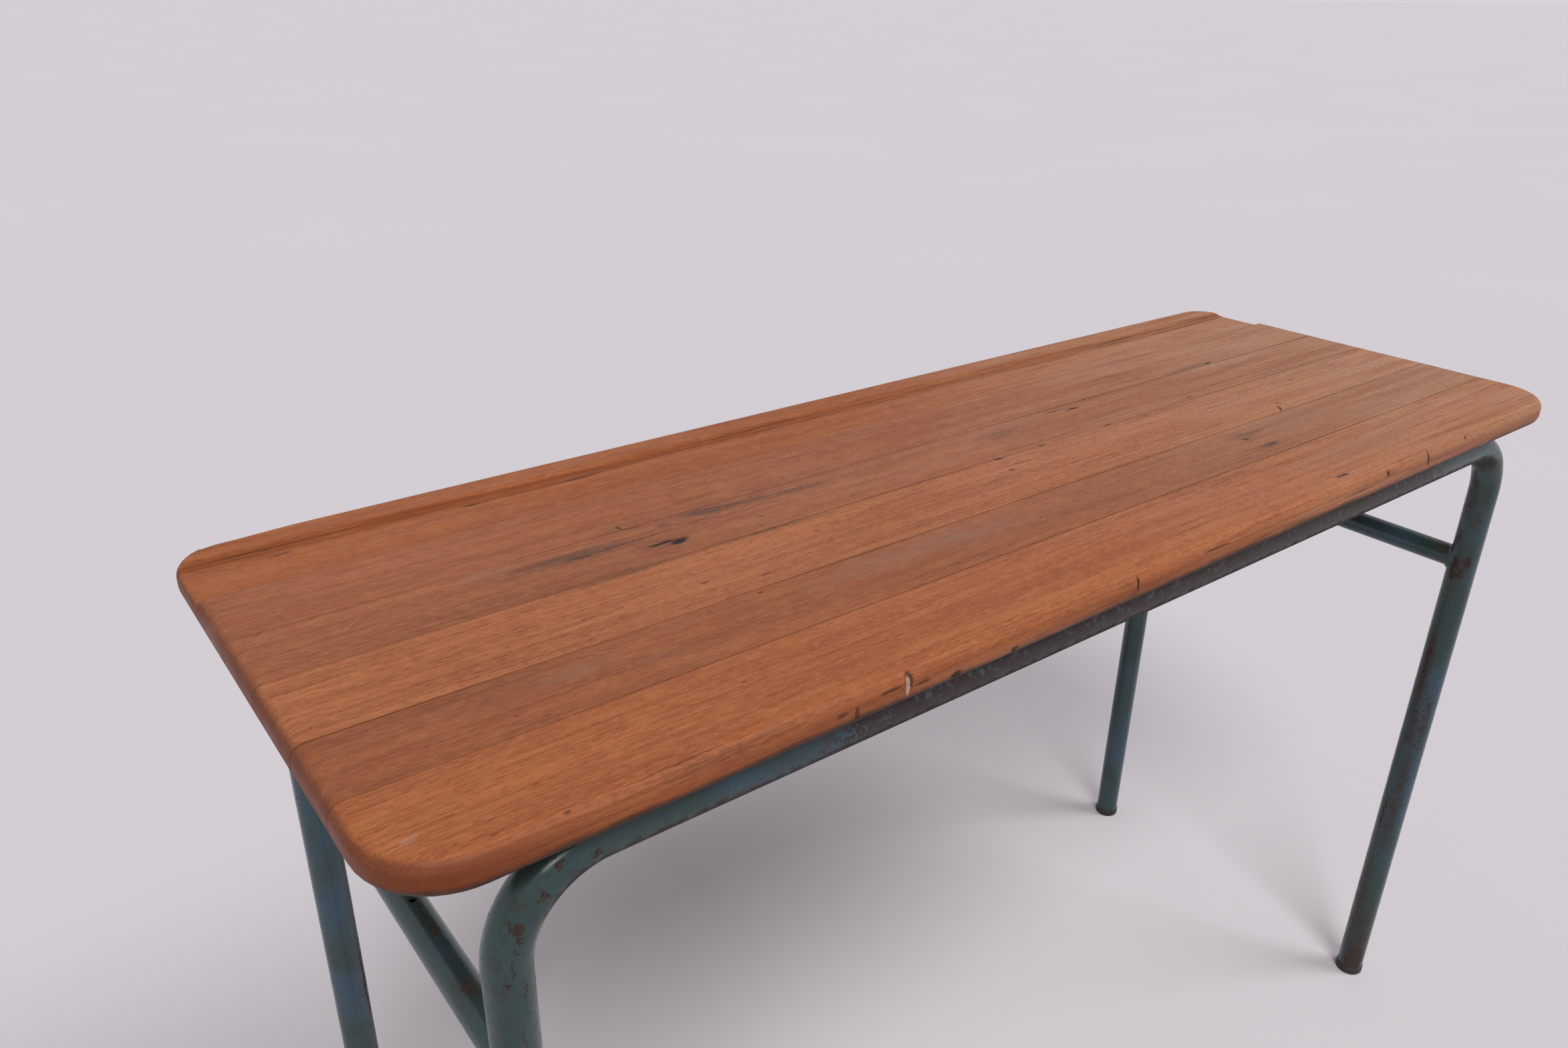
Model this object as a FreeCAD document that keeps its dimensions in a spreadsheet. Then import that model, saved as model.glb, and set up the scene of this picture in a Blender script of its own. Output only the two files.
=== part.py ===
import FreeCAD, Part
import math
import os
import Sketcher

# Double school desk: a glued panel of solid oak boards on a welded frame of bent steel tube.
# Frame of the model: +Z up, X along the desk, the pupils sit on the -Y side.
# The origin lies on the floor under the middle of the top.

# Driving dimensions in millimetres, and the shares and counts that go with them.
SIZES = {
    # overall
    "desk_height": 805,
    "top_length": 1300,
    "top_depth": 460,
    # the panel, board by board from the pupils' side to the back: their widths share out the depth
    "board_thickness": 26,
    "front_board_width": 82,
    "second_board_width": 65,
    "third_board_width": 78,
    "fourth_board_width": 66,
    "fifth_board_width": 70,
    "rear_board_width": 99,
    "edge_round": 10,
    "front_corner_radius": 55,
    "rear_corner_radius": 40,
    # the pencil tray milled along the rear board, and the rail left standing behind it
    "tray_depth": 4.5,
    "tray_land": 1,
    "tray_front_slope": 9,
    "tray_rear_cove": 11,
    "tray_rail_width": 31,
    "rail_lip_round": 5,
    # the two bent tubes that form the legs
    "leg_diameter": 30,
    "leg_wall": 1.5,
    "leg_spread": 1165,
    "leg_depth_spacing": 410,
    "leg_bend_radius": 65,
    # the rails between front and rear legs
    "side_rail_diameter": 25,
    "side_rail_wall": 1.5,
    "side_rail_drop": 164,
    "weld_gap": 0.15,
    "weld_size": 2.5,
    "vent_hole_diameter": 5,
    "vent_hole_forward": 42,
    # the plugs in the feet
    "foot_cap_height": 10,
    "foot_cap_lip": 1,
    "foot_fin_length": 25,
    "foot_fin_thickness": 3,
    "foot_fin_gap": 0.15,
    # the lugs that carry the top, and their screws
    "lug_thickness": 3,
    "lug_width": 25,
    "lug_reach": 34,
    "lug_clipped_corner": 7,
    "lug_hole_inset": 11,
    "lug_hole_gap": 0.35,
    "lug_spacing": 450,
    "screw_diameter": 5,
    "screw_head_across_flats": 8,
    "screw_head_height": 3.5,
    "screw_length": 20,
    "pilot_gap": 0.1,
    "pilot_extra_depth": 1,
    # how far a cut runs past the face that it opens
    "cut_overrun": 5,
}

LUGS_PER_RAIL = 3
SAME_PLACE_SHARE = 1e-6
TUBE_VOLUME_SHARE = 1e-4
QUARTER_TURN = 90.0
HEXAGON_CORNERS = 6

doc = FreeCAD.newDocument("DoubleSchoolDesk")
sheet = doc.addObject("Spreadsheet::Sheet", "Sizes")
for row, (alias, value) in enumerate(SIZES.items(), start=1):
    sheet.set("A%d" % row, alias)
    sheet.set("B%d" % row, str(value))
    sheet.setAlias("B%d" % row, alias)
doc.recompute()


class Length:
    """A length: its value now, and the formula on the sheet that it follows."""

    def __init__(self, value, formula):
        self.value = value
        self.formula = formula

    def __add__(self, other):
        return Length(self.value + other.value, "(%s + %s)" % (self.formula, other.formula))

    def __sub__(self, other):
        return Length(self.value - other.value, "(%s - %s)" % (self.formula, other.formula))

    def __mul__(self, factor):
        return Length(self.value * factor, "(%s * %s)" % (self.formula, factor))

    def __truediv__(self, divisor):
        return Length(self.value / divisor, "(%s / %s)" % (self.formula, divisor))

    def __neg__(self):
        return self * -1

    def shared(self, part, whole):
        """The stretch of this length that falls to a part of the whole."""
        value = self.value * part.value / whole.value
        return Length(value, "(%s * %s / %s)" % (self.formula, part.formula, whole.formula))


def size(alias):
    """The driving dimension of that name."""
    return Length(float(sheet.get(alias)), "Sizes." + alias)


ZERO = Length(0.0, "0")

# Lengths that several pieces share.
overrun = size("cut_overrun")
thickness = size("board_thickness")
half_length = size("top_length") / 2
top_surface = size("desk_height")
underside = top_surface - thickness
leg_radius = size("leg_diameter") / 2
leg_bore_radius = leg_radius - size("leg_wall")
leg_x = size("leg_spread") / 2
leg_y = size("leg_depth_spacing") / 2
rail_axis_height = underside - leg_radius
side_rail_radius = size("side_rail_diameter") / 2
side_rail_height = underside - size("side_rail_drop")
tube_end_height = size("foot_cap_height")
lug_hole_reach = size("lug_reach") - size("lug_hole_inset")
front_screw_line = -leg_y + lug_hole_reach
rear_screw_line = leg_y - lug_hole_reach
pilot_radius = size("screw_diameter") / 2 + size("pilot_gap")
screw_in_wood = size("screw_length") - size("lug_thickness")


def plane(body, role):
    """The origin plane of a body, such as XY_Plane."""
    for feature in body.Origin.OriginFeatures:
        if feature.Role == role:
            return feature
    raise ValueError("the body has no " + role)


def new_body(label, x=ZERO, y=ZERO, z=ZERO, turn=0.0):
    """An empty body whose origin follows the sheet, turned about the vertical."""
    body = doc.addObject("PartDesign::Body", label)
    body.Label = label
    body.Placement = FreeCAD.Placement(
        FreeCAD.Vector(x.value, y.value, z.value),
        FreeCAD.Rotation(FreeCAD.Vector(0, 0, 1), turn),
    )
    body.setExpression("Placement.Base.x", x.formula)
    body.setExpression("Placement.Base.y", y.formula)
    body.setExpression("Placement.Base.z", z.formula)
    return body


def new_sketch(body, name, role, offset=ZERO):
    """An empty sketch on an origin plane of the body, or parallel to it."""
    sketch = body.newObject("Sketcher::SketchObject", body.Label + "_" + name)
    sketch.AttachmentSupport = (plane(body, role), "")
    sketch.MapMode = "FlatFace"
    sketch.setExpression("AttachmentOffset.Base.z", offset.formula)
    return sketch


def bind(sketch, constraint, length):
    """Add a dimension to a sketch and let it follow the sheet."""
    index = sketch.addConstraint(constraint)
    name = "dimension_%d" % index
    sketch.renameConstraint(index, name)
    sketch.setExpression("Constraints." + name, length.formula)


def hold(sketch, geometry, end, x, y):
    """Hold one end (1 start, 2 end, 3 centre) of a geometry at a place in the sketch."""
    bind(sketch, Sketcher.Constraint("DistanceX", -1, 1, geometry, end, x.value), x)
    bind(sketch, Sketcher.Constraint("DistanceY", -1, 1, geometry, end, y.value), y)


def add_line(sketch, start, end):
    """A line between two places, each a pair of lengths; its end is held there."""
    line = Part.LineSegment(
        FreeCAD.Vector(start[0].value, start[1].value, 0),
        FreeCAD.Vector(end[0].value, end[1].value, 0),
    )
    geometry = sketch.addGeometry(line, False)
    hold(sketch, geometry, 2, *end)
    return geometry


def add_circle(sketch, x, y, radius):
    """A circle held at its centre and its radius."""
    circle = Part.Circle(FreeCAD.Vector(x.value, y.value, 0), FreeCAD.Vector(0, 0, 1), radius.value)
    geometry = sketch.addGeometry(circle, False)
    hold(sketch, geometry, 3, x, y)
    bind(sketch, Sketcher.Constraint("Radius", geometry, radius.value), radius)
    return geometry


def add_outline(sketch, corners):
    """A closed outline of straight lines through the corners, in order."""
    lines = []
    for index, corner in enumerate(corners):
        lines.append(add_line(sketch, corners[index - 1], corner))
    for index, line in enumerate(lines):
        sketch.addConstraint(Sketcher.Constraint("Coincident", lines[index - 1], 2, line, 1))
    return lines


def add_rectangle(sketch, left, right, low, high):
    """A closed rectangle."""
    return add_outline(sketch, [(left, low), (right, low), (right, high), (left, high)])


def extrude(body, kind, name, sketch, length, symmetric=False, reverse=False):
    """A pad or pocket of a sketch by a length, or by half of it to each side."""
    feature = body.newObject("PartDesign::" + kind, body.Label + "_" + name)
    feature.Profile = sketch
    feature.SideType = "Symmetric" if symmetric else "One side"
    feature.Reversed = reverse
    feature.setExpression("Length", length.formula)
    return feature


def pocket(body, name, sketch, length, symmetric=False, reverse=False):
    """A pocket that must take material away from the body."""
    doc.recompute()
    before = body.Shape.Volume
    feature = extrude(body, "Pocket", name, sketch, length, symmetric, reverse)
    doc.recompute()
    if not feature.Shape.Volume < before * (1 - SAME_PLACE_SHARE):
        raise RuntimeError(feature.Name + " cuts nothing")
    return feature


def edges_where(feature, wanted):
    """The names of a feature's edges that satisfy a test."""
    return ["Edge%d" % (i + 1) for i, edge in enumerate(feature.Shape.Edges) if wanted(edge)]


def round_edges(body, name, feature, wanted, radius):
    """A fillet on the edges of a feature that satisfy a test."""
    doc.recompute()
    fillet = body.newObject("PartDesign::Fillet", body.Label + "_" + name)
    fillet.Base = (feature, edges_where(feature, wanted))
    fillet.setExpression("Radius", radius.formula)
    doc.recompute()
    return fillet


def is_upright(edge):
    """True for an edge that runs straight up."""
    start, end = edge.Vertexes[0].Point, edge.Vertexes[-1].Point
    return abs(start.x - end.x) + abs(start.y - end.y) < abs(start.z - end.z) * SAME_PLACE_SHARE


def lies_in_plane_y(edge, y):
    """True for an edge whose ends and middle lie at one y."""
    places = [edge.valueAt(edge.FirstParameter), edge.valueAt(edge.LastParameter), edge.CenterOfMass]
    tolerance = thickness.value * SAME_PLACE_SHARE
    return all(abs(place.y - y) < tolerance for place in places)


def board_blank(label, front, rear):
    """A plain board between two seams; its origin is at its front lower edge, in the middle."""
    body = new_body(label, ZERO, front, underside)
    sketch = new_sketch(body, "outline", "XY_Plane")
    add_rectangle(sketch, -half_length, half_length, ZERO, rear - front)
    blank = extrude(body, "Pad", "blank", sketch, thickness)
    doc.recompute()
    return body, blank


def middle_board(label, front, rear):
    """A board between two others, with its two ends rounded over and under."""
    body, blank = board_blank(label, front, rear)

    def at_end(edge):
        return abs(edge.CenterOfMass.x) > half_length.value * (1 - SAME_PLACE_SHARE) \
            and not is_upright(edge)

    round_edges(body, "end_rounds", blank, at_end, size("edge_round"))
    return body


def outer_board(label, front, rear, seam_at, corner_radius):
    """A board with two rounded corners, rounded over and under on all but its seam."""
    body, blank = board_blank(label, front, rear)
    seam = (seam_at - front).value

    def at_corner(edge):
        return is_upright(edge) and not lies_in_plane_y(edge, seam)

    corners = round_edges(body, "corners", blank, at_corner, corner_radius)

    def on_rim(edge):
        flat = abs(edge.BoundBox.ZLength) < thickness.value * SAME_PLACE_SHARE
        return flat and not lies_in_plane_y(edge, seam)

    round_edges(body, "rim_rounds", corners, on_rim, size("edge_round"))
    return body


def mill_tray(body, board_width):
    """Mill the pencil tray along the rear board, right through both ends.

    The floor is flat; a shallow slope leads down to it in front and a cove rises from it to
    the rail behind, whose front lip is rounded.
    """
    floor = thickness - size("tray_depth")
    slope_top = size("tray_land")
    slope_foot = slope_top + size("tray_front_slope")
    cove_top = board_width - size("tray_rail_width")
    cove_foot = cove_top - size("tray_rear_cove")
    above = thickness + overrun
    sketch = new_sketch(body, "tray_profile", "YZ_Plane")

    def concave_arc(start, end, foot, side):
        """An arc from start to end that meets the floor at its foot without a corner."""
        across = abs(end[0].value - start[0].value)
        rise = size("tray_depth").value
        radius = (across ** 2 + rise ** 2) / (2 * rise)
        centre = FreeCAD.Vector(foot.value, floor.value + radius, 0)
        spread = math.asin(across / radius)
        low_angle = -math.pi / 2
        if side < 0:
            angles = (low_angle - spread, low_angle)
        else:
            angles = (low_angle, low_angle + spread)
        circle = Part.Circle(centre, FreeCAD.Vector(0, 0, 1), radius)
        geometry = sketch.addGeometry(Part.ArcOfCircle(circle, *angles), False)
        hold(sketch, geometry, 1, *start)
        hold(sketch, geometry, 2, *end)
        return geometry

    slope = concave_arc((slope_top, thickness), (slope_foot, floor), slope_foot, -1)
    cove = concave_arc((cove_foot, floor), (cove_top, thickness), cove_foot, 1)
    bottom = sketch.addGeometry(
        Part.LineSegment(
            FreeCAD.Vector(slope_foot.value, floor.value, 0),
            FreeCAD.Vector(cove_foot.value, floor.value, 0),
        ),
        False,
    )
    sketch.addConstraint(Sketcher.Constraint("Tangent", slope, 2, bottom, 1))
    sketch.addConstraint(Sketcher.Constraint("Tangent", bottom, 2, cove, 1))
    rear_wall = add_line(sketch, (cove_top, thickness), (cove_top, above))
    lid = add_line(sketch, (cove_top, above), (slope_top, above))
    front_wall = sketch.addGeometry(
        Part.LineSegment(
            FreeCAD.Vector(slope_top.value, above.value, 0),
            FreeCAD.Vector(slope_top.value, thickness.value, 0),
        ),
        False,
    )
    for first, second in ((cove, rear_wall), (rear_wall, lid), (lid, front_wall), (front_wall, slope)):
        sketch.addConstraint(Sketcher.Constraint("Coincident", first, 2, second, 1))
    tray = pocket(body, "tray", sketch, size("top_length") + overrun, symmetric=True)

    def on_lip(edge):
        middle = edge.valueAt((edge.FirstParameter + edge.LastParameter) / 2)
        tolerance = thickness.value * SAME_PLACE_SHARE
        flat = abs(middle.z - thickness.value) < tolerance
        return flat and abs(middle.y - cove_top.value) < tolerance

    round_edges(body, "rail_lip", tray, on_lip, size("rail_lip_round"))


def drill_pilots(body, front, rear):
    """Drill the blind screw holes from below wherever a row of lugs lies under the board."""
    reached = []
    for line in (front_screw_line, rear_screw_line):
        if front.value - pilot_radius.value < line.value < rear.value + pilot_radius.value:
            reached.append(line)
    if not reached:
        return
    sketch = new_sketch(body, "pilots", "XY_Plane")
    for line in reached:
        for index in range(LUGS_PER_RAIL):
            step = index - (LUGS_PER_RAIL - 1) / 2
            add_circle(sketch, size("lug_spacing") * step, line - front, pilot_radius)
    depth = screw_in_wood + size("pilot_extra_depth")
    pocket(body, "pilot_holes", sketch, depth, reverse=True)


# The tabletop, board by board from the pupils' edge to the back.
BOARDS = (
    ("top_board_1_front", "front_board_width"),
    ("top_board_2", "second_board_width"),
    ("top_board_3", "third_board_width"),
    ("top_board_4", "fourth_board_width"),
    ("top_board_5", "fifth_board_width"),
    ("top_board_6_tray_rail", "rear_board_width"),
)
all_widths = sum((size(width) for _, width in BOARDS), ZERO)
front_edge = -(size("top_depth") / 2)
laid = ZERO
front = front_edge
for index, (label, width) in enumerate(BOARDS):
    laid = laid + size(width)
    rear = front_edge + size("top_depth").shared(laid, all_widths)
    if index == 0:
        board = outer_board(label, front, rear, rear, size("front_corner_radius"))
    elif index == len(BOARDS) - 1:
        board = outer_board(label, front, rear, front, size("rear_corner_radius"))
        mill_tray(board, rear - front)
    else:
        board = middle_board(label, front, rear)
    drill_pilots(board, front, rear)
    front = rear


def add_ring(sketch, x, y, outer_radius, wall):
    """The section of a tube: its outer circle and its bore."""
    add_circle(sketch, x, y, outer_radius)
    add_circle(sketch, x, y, outer_radius - wall)


def leg_frame(label, y):
    """One tube bent twice: a leg, the rail under the top, and the other leg, open at both feet.

    The rail, the left bend and the left leg are made one after the other, then mirrored.
    """
    body = new_body(label, ZERO, y, ZERO)
    wall = size("leg_wall")
    bend_radius = size("leg_bend_radius")
    bend_axis_x = -leg_x + bend_radius
    bend_height = rail_axis_height - bend_radius

    rail_section = new_sketch(body, "rail_section", "YZ_Plane")
    add_ring(rail_section, ZERO, rail_axis_height, leg_radius, wall)
    extrude(body, "Pad", "rail", rail_section, (leg_x - bend_radius) * 2, symmetric=True)

    bend_section = new_sketch(body, "bend_section", "XY_Plane", bend_height)
    bend_section.setExpression("AttachmentOffset.Base.x", bend_axis_x.formula)
    add_ring(bend_section, -bend_radius, ZERO, leg_radius, wall)
    bend = body.newObject("PartDesign::Revolution", label + "_bend")
    bend.Profile = bend_section
    bend.ReferenceAxis = (bend_section, ["V_Axis"])
    bend.Angle = QUARTER_TURN

    leg_section = new_sketch(body, "leg_section", "XY_Plane", tube_end_height)
    add_ring(leg_section, -leg_x, ZERO, leg_radius, wall)
    leg = extrude(body, "Pad", "leg", leg_section, bend_height - tube_end_height)
    doc.recompute()

    other_side = body.newObject("PartDesign::Mirrored", label + "_other_side")
    other_side.Originals = [bend, leg]
    other_side.MirrorPlane = (plane(body, "YZ_Plane"), [""])
    body.Tip = other_side
    doc.recompute()

    run = 2 * (leg.Length.Value + leg_x.value - bend_radius.value) + math.pi * bend_radius.value
    section = math.pi * (leg_radius.value ** 2 - leg_bore_radius.value ** 2)
    if abs(body.Shape.Volume / (section * run) - 1) > TUBE_VOLUME_SHARE or len(body.Shape.Solids) != 1:
        raise RuntimeError(label + " is not one plain tube along its path")
    return body


leg_frame("front_leg_frame", -leg_y)
leg_frame("rear_leg_frame", leg_y)


def side_rail(label, x):
    """A straight tube between two legs, coped at both ends to sit round them."""
    body = new_body(label, x, ZERO, side_rail_height)
    ring = new_sketch(body, "ring", "XZ_Plane")
    add_ring(ring, ZERO, ZERO, side_rail_radius, size("side_rail_wall"))
    extrude(body, "Pad", "tube", ring, size("leg_depth_spacing"), symmetric=True)

    cope = new_sketch(body, "copes", "XY_Plane")
    for y in (-leg_y, leg_y):
        add_circle(cope, ZERO, y, leg_radius + size("weld_gap"))
    pocket(body, "cope_cuts", cope, size("side_rail_diameter") + overrun, symmetric=True)

    vent = new_sketch(body, "vent", "XY_Plane")
    add_circle(vent, ZERO, -size("vent_hole_forward"), size("vent_hole_diameter") / 2)
    pocket(body, "vent_hole", vent, side_rail_radius + overrun, reverse=True)
    return body


side_rail("left_side_rail", -leg_x)
side_rail("right_side_rail", leg_x)


def foot_plug(label, x, y):
    """A moulded plug in the end of a leg: a cap that stands on the floor and four fins in a cross."""
    body = new_body(label, x, y, ZERO)
    cap = new_sketch(body, "cap_outline", "XY_Plane")
    add_circle(cap, ZERO, ZERO, leg_radius + size("foot_cap_lip"))
    extrude(body, "Pad", "cap", cap, tube_end_height)

    reach = leg_bore_radius - size("foot_fin_gap")
    half = size("foot_fin_thickness") / 2
    fins = new_sketch(body, "fin_outline", "XY_Plane", tube_end_height)
    add_outline(
        fins,
        [
            (-half, -reach), (half, -reach), (half, -half),
            (reach, -half), (reach, half), (half, half),
            (half, reach), (-half, reach), (-half, half),
            (-reach, half), (-reach, -half), (-half, -half),
        ],
    )
    extrude(body, "Pad", "fins", fins, size("foot_fin_length"))
    return body


for across_name, x in (("left", -leg_x), ("right", leg_x)):
    for depth_name, y in (("front", -leg_y), ("rear", leg_y)):
        foot_plug("foot_plug_%s_%s" % (depth_name, across_name), x, y)


def fixing_lug(label, x, y, turn):
    """A flat lug welded to a rail: square where it meets the tube, clipped beyond its screw hole.

    Its origin lies on the axis of the rail and its upper face meets the underside of the top.
    """
    body = new_body(label, x, y, rail_axis_height, turn)
    half_width = size("lug_width") / 2
    plate_low = leg_radius - size("lug_thickness")
    reach = size("lug_reach")
    clipped = size("lug_clipped_corner")
    outline = new_sketch(body, "outline", "XY_Plane", plate_low)
    add_outline(
        outline,
        [
            (-half_width, ZERO),
            (half_width, ZERO),
            (half_width, reach - clipped),
            (half_width - clipped, reach),
            (clipped - half_width, reach),
            (-half_width, reach - clipped),
        ],
    )
    extrude(body, "Pad", "plate", outline, size("lug_thickness"))

    hole = new_sketch(body, "hole", "XY_Plane", plate_low)
    add_circle(hole, ZERO, lug_hole_reach, size("screw_diameter") / 2 + size("lug_hole_gap"))
    pocket(body, "screw_hole", hole, size("lug_thickness") + overrun, reverse=True)

    seat = new_sketch(body, "tube_seat", "YZ_Plane")
    add_circle(seat, ZERO, ZERO, leg_radius + size("weld_gap"))
    pocket(body, "tube_seat_cut", seat, size("lug_width") + overrun, symmetric=True)
    return body


LUG_PLACES = ("left", "middle", "right")
for index, across_name in enumerate(LUG_PLACES):
    x = size("lug_spacing") * (index - (LUGS_PER_RAIL - 1) / 2)
    fixing_lug("fixing_lug_front_" + across_name, x, -leg_y, 0.0)
    fixing_lug("fixing_lug_rear_" + across_name, x, leg_y, 180.0)


def top_screws(label):
    """Hexagon-headed wood screws, head down under each lug: one is made, the rest are copies."""
    body = new_body(label, -size("lug_spacing") * ((LUGS_PER_RAIL - 1) / 2), ZERO, underside)
    seat = -size("lug_thickness")
    head_circle = size("screw_head_across_flats") / 2 / math.cos(math.pi / HEXAGON_CORNERS)
    head_corners = []
    for index in range(HEXAGON_CORNERS):
        angle = 2 * math.pi * index / HEXAGON_CORNERS
        across = head_circle * math.cos(angle)
        head_corners.append((across, front_screw_line + head_circle * math.sin(angle)))
    head_outline = new_sketch(body, "head_outline", "XY_Plane", seat)
    add_outline(head_outline, head_corners)
    head = extrude(body, "Pad", "head", head_outline, size("screw_head_height"), reverse=True)

    shank_outline = new_sketch(body, "shank_outline", "XY_Plane", seat)
    add_circle(shank_outline, ZERO, front_screw_line, size("screw_diameter") / 2)
    shank = extrude(body, "Pad", "shank", shank_outline, size("screw_length"))
    doc.recompute()

    row = body.newObject("PartDesign::LinearPattern", label + "_row")
    row.Originals = [head, shank]
    row.Direction = (shank_outline, ["H_Axis"])
    row.setExpression("Length", (size("lug_spacing") * (LUGS_PER_RAIL - 1)).formula)
    row.Occurrences = LUGS_PER_RAIL
    body.Tip = row
    doc.recompute()

    rows = body.newObject("PartDesign::Mirrored", label + "_rows")
    rows.TransformMode = "Whole shape"
    rows.MirrorPlane = (plane(body, "XZ_Plane"), [""])
    body.Tip = rows
    return body


top_screws("top_screws")


def weld_beads(label):
    """The welds round the four joints of side rail and leg, as one group of solids.

    Each bead is what a chamfer adds between the two tubes, so it follows the saddle of the joint.
    """
    bead_size = size("weld_size").value
    half_rise = leg_radius.value + side_rail_radius.value + bead_size
    upright = FreeCAD.Vector(0, 0, 1)
    beads = []
    for x in (-leg_x.value, leg_x.value):
        for side in (-1, 1):
            centre = FreeCAD.Vector(x, side * leg_y.value, side_rail_height.value)
            leg = Part.makeCylinder(leg_radius.value, 2 * half_rise, centre - upright * half_rise, upright)
            inwards = FreeCAD.Vector(0, -side, 0)
            rail = Part.makeCylinder(side_rail_radius.value, leg_y.value, centre, inwards)
            joint = leg.fuse(rail).removeSplitter()
            saddle = [
                edge for edge in joint.Edges
                if edge.Curve.TypeId not in ("Part::GeomCircle", "Part::GeomLine")
            ]
            bead = joint.makeChamfer(bead_size, saddle).cut(leg).cut(rail)
            if len(bead.Solids) != 1:
                raise RuntimeError("a weld bead is not one solid")
            beads.extend(bead.Solids)
    feature = doc.addObject("Part::Feature", label)
    feature.Label = label
    feature.Shape = Part.makeCompound(beads)
    feature.Placement = FreeCAD.Placement()


weld_beads("weld_beads")

doc.recompute()

# Every object must be sound before anything is written.
for item in doc.Objects:
    if "Invalid" in item.State or "Error" in item.State:
        raise RuntimeError(item.Name + " failed: " + ", ".join(item.State))

pieces = [item for item in doc.Objects if item.TypeId in ("PartDesign::Body", "Part::Feature")]
for piece in pieces:
    if piece.Shape.isNull() or not piece.Shape.isValid():
        raise RuntimeError(piece.Label + " has no valid shape")

os.makedirs("parts", exist_ok=True)
for piece in pieces:
    piece.Shape.exportStep("parts/" + piece.Label + ".step")
    print(piece.Label, len(piece.Shape.Solids), "solid(s)", round(piece.Shape.Volume), "mm3")
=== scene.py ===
"""Looks of a long school desk for two: six oak boards on a welded frame of bent steel tube."""
import math
from collections import namedtuple

import bmesh
import bpy
from bpy.props import FloatProperty, FloatVectorProperty, IntProperty, PointerProperty
from mathutils import Matrix, Vector, noise


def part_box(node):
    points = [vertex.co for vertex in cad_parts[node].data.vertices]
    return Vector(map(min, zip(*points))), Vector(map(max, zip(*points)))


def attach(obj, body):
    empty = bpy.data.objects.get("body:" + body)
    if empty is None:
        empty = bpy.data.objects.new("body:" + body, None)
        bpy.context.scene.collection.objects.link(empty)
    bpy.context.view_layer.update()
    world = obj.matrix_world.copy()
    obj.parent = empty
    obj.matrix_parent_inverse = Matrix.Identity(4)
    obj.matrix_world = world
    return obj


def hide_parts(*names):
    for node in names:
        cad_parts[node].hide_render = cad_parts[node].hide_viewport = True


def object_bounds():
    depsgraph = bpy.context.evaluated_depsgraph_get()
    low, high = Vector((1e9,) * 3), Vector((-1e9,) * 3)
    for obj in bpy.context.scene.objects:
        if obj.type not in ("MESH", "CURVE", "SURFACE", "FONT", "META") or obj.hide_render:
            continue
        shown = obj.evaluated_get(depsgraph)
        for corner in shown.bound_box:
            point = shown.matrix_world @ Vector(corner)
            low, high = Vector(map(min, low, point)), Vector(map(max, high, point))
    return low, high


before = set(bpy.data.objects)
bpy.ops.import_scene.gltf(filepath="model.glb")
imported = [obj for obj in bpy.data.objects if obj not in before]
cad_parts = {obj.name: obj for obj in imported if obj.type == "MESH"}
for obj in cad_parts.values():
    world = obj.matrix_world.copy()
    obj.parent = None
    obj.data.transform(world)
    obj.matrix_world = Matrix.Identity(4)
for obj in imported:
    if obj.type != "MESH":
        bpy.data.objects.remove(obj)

bl_info = {
    "name": "Double School Desk",
    "version": (1, 0, 0),
    "blender": (4, 5, 0),
    "location": "3D View > Sidebar > School Desk",
    "description": "The finishes and fine shapes of a long oak desk on a bent-tube frame",
    "category": "Object",
}

# One millimetre in the frame's metres.
MM = 0.001
CAD_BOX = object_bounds()
CAD_TOP = CAD_BOX[1][2]
BODY = "root"

WHITE = (1.0, 1.0, 1.0, 1.0)
MID_GREY = (0.5, 0.5, 0.5, 1.0)

# Points this close are one point, points this close to a plane lie on it, and faces that meet at
# less than this angle are one flat face.
MERGE = 0.002 * MM
NEAR = 0.01 * MM
FLAT_ANGLE = math.radians(0.3)

# The least angles, in radians, between the faces at a plug's rim and at a lug's corner.
RIM_ANGLE = 1.0
CORNER_ANGLE = 0.6

# Faces with a lower upward share of their normal than this look down and take no marks.
FACES_DOWN = -0.5
# How far a mark's finer mesh goes and how far its outline swings in and out, in halves of its size.
CUT_BEYOND = 1.2
LOBES = 0.3
# The hollows worn into the top are longer along a board than across it by one over this.
HOLLOW_STRETCH = 0.35

# Where wear and dirt, painted sheen and painted shade set in and where they are full, as places along the
# desk or heights on its frame.
BLEACHED_AND_SHEEN_FROM_TO = (-150 * MM, 600 * MM)
HELD_FROM_TO = (-630 * MM, -500 * MM)
SEAM_DIRT_FROM_TO = (-550 * MM, -150 * MM)
RAIL_GRIME_AND_SHADE_FROM_TO = (720 * MM, 745 * MM)
END_WEAR_FROM_TO = (-560 * MM, -600 * MM)

# Where the dark coats fade out, as distances from a seam, from a board's lower edge, from the middle of the
# tray's cove, and from the middle of a dark line along the cove; the lower edge and the lines are dirt and
# painted shade.
SEAM_FADE = (0.3 * MM, 1.2 * MM)
EDGE_DIRT_AND_SHADE_FADE = (-2.5 * MM, 3.5 * MM)
COVE_FADE = (1.5 * MM, 7.5 * MM)
LINE_FADE_FROM = 0.3 * MM
# How far the mottle and the haze raise the dirt and painted shade on the lower edge, and how far streaks
# shift the cove's.
EDGE_RISE_MOTTLE = 6 * MM
EDGE_RISE_HAZE = 8 * MM
COVE_STRAY = 16 * MM


def linear(code):
    """The linear colour, with an alpha of one, of an sRGB hex code."""
    parts = [int(code[start:start + 2], 16) / 255 for start in (0, 2, 4)]
    return tuple(p / 12.92 if p <= 0.04045 else ((p + 0.055) / 1.055) ** 2.4 for p in parts) + (1.0,)


def length(name, description, millimetres):
    """A length that a user may change, in metres."""
    return FloatProperty(name=name, description=description, default=millimetres * MM, min=0.0,
                         unit="LENGTH", subtype="DISTANCE", precision=5)


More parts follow.
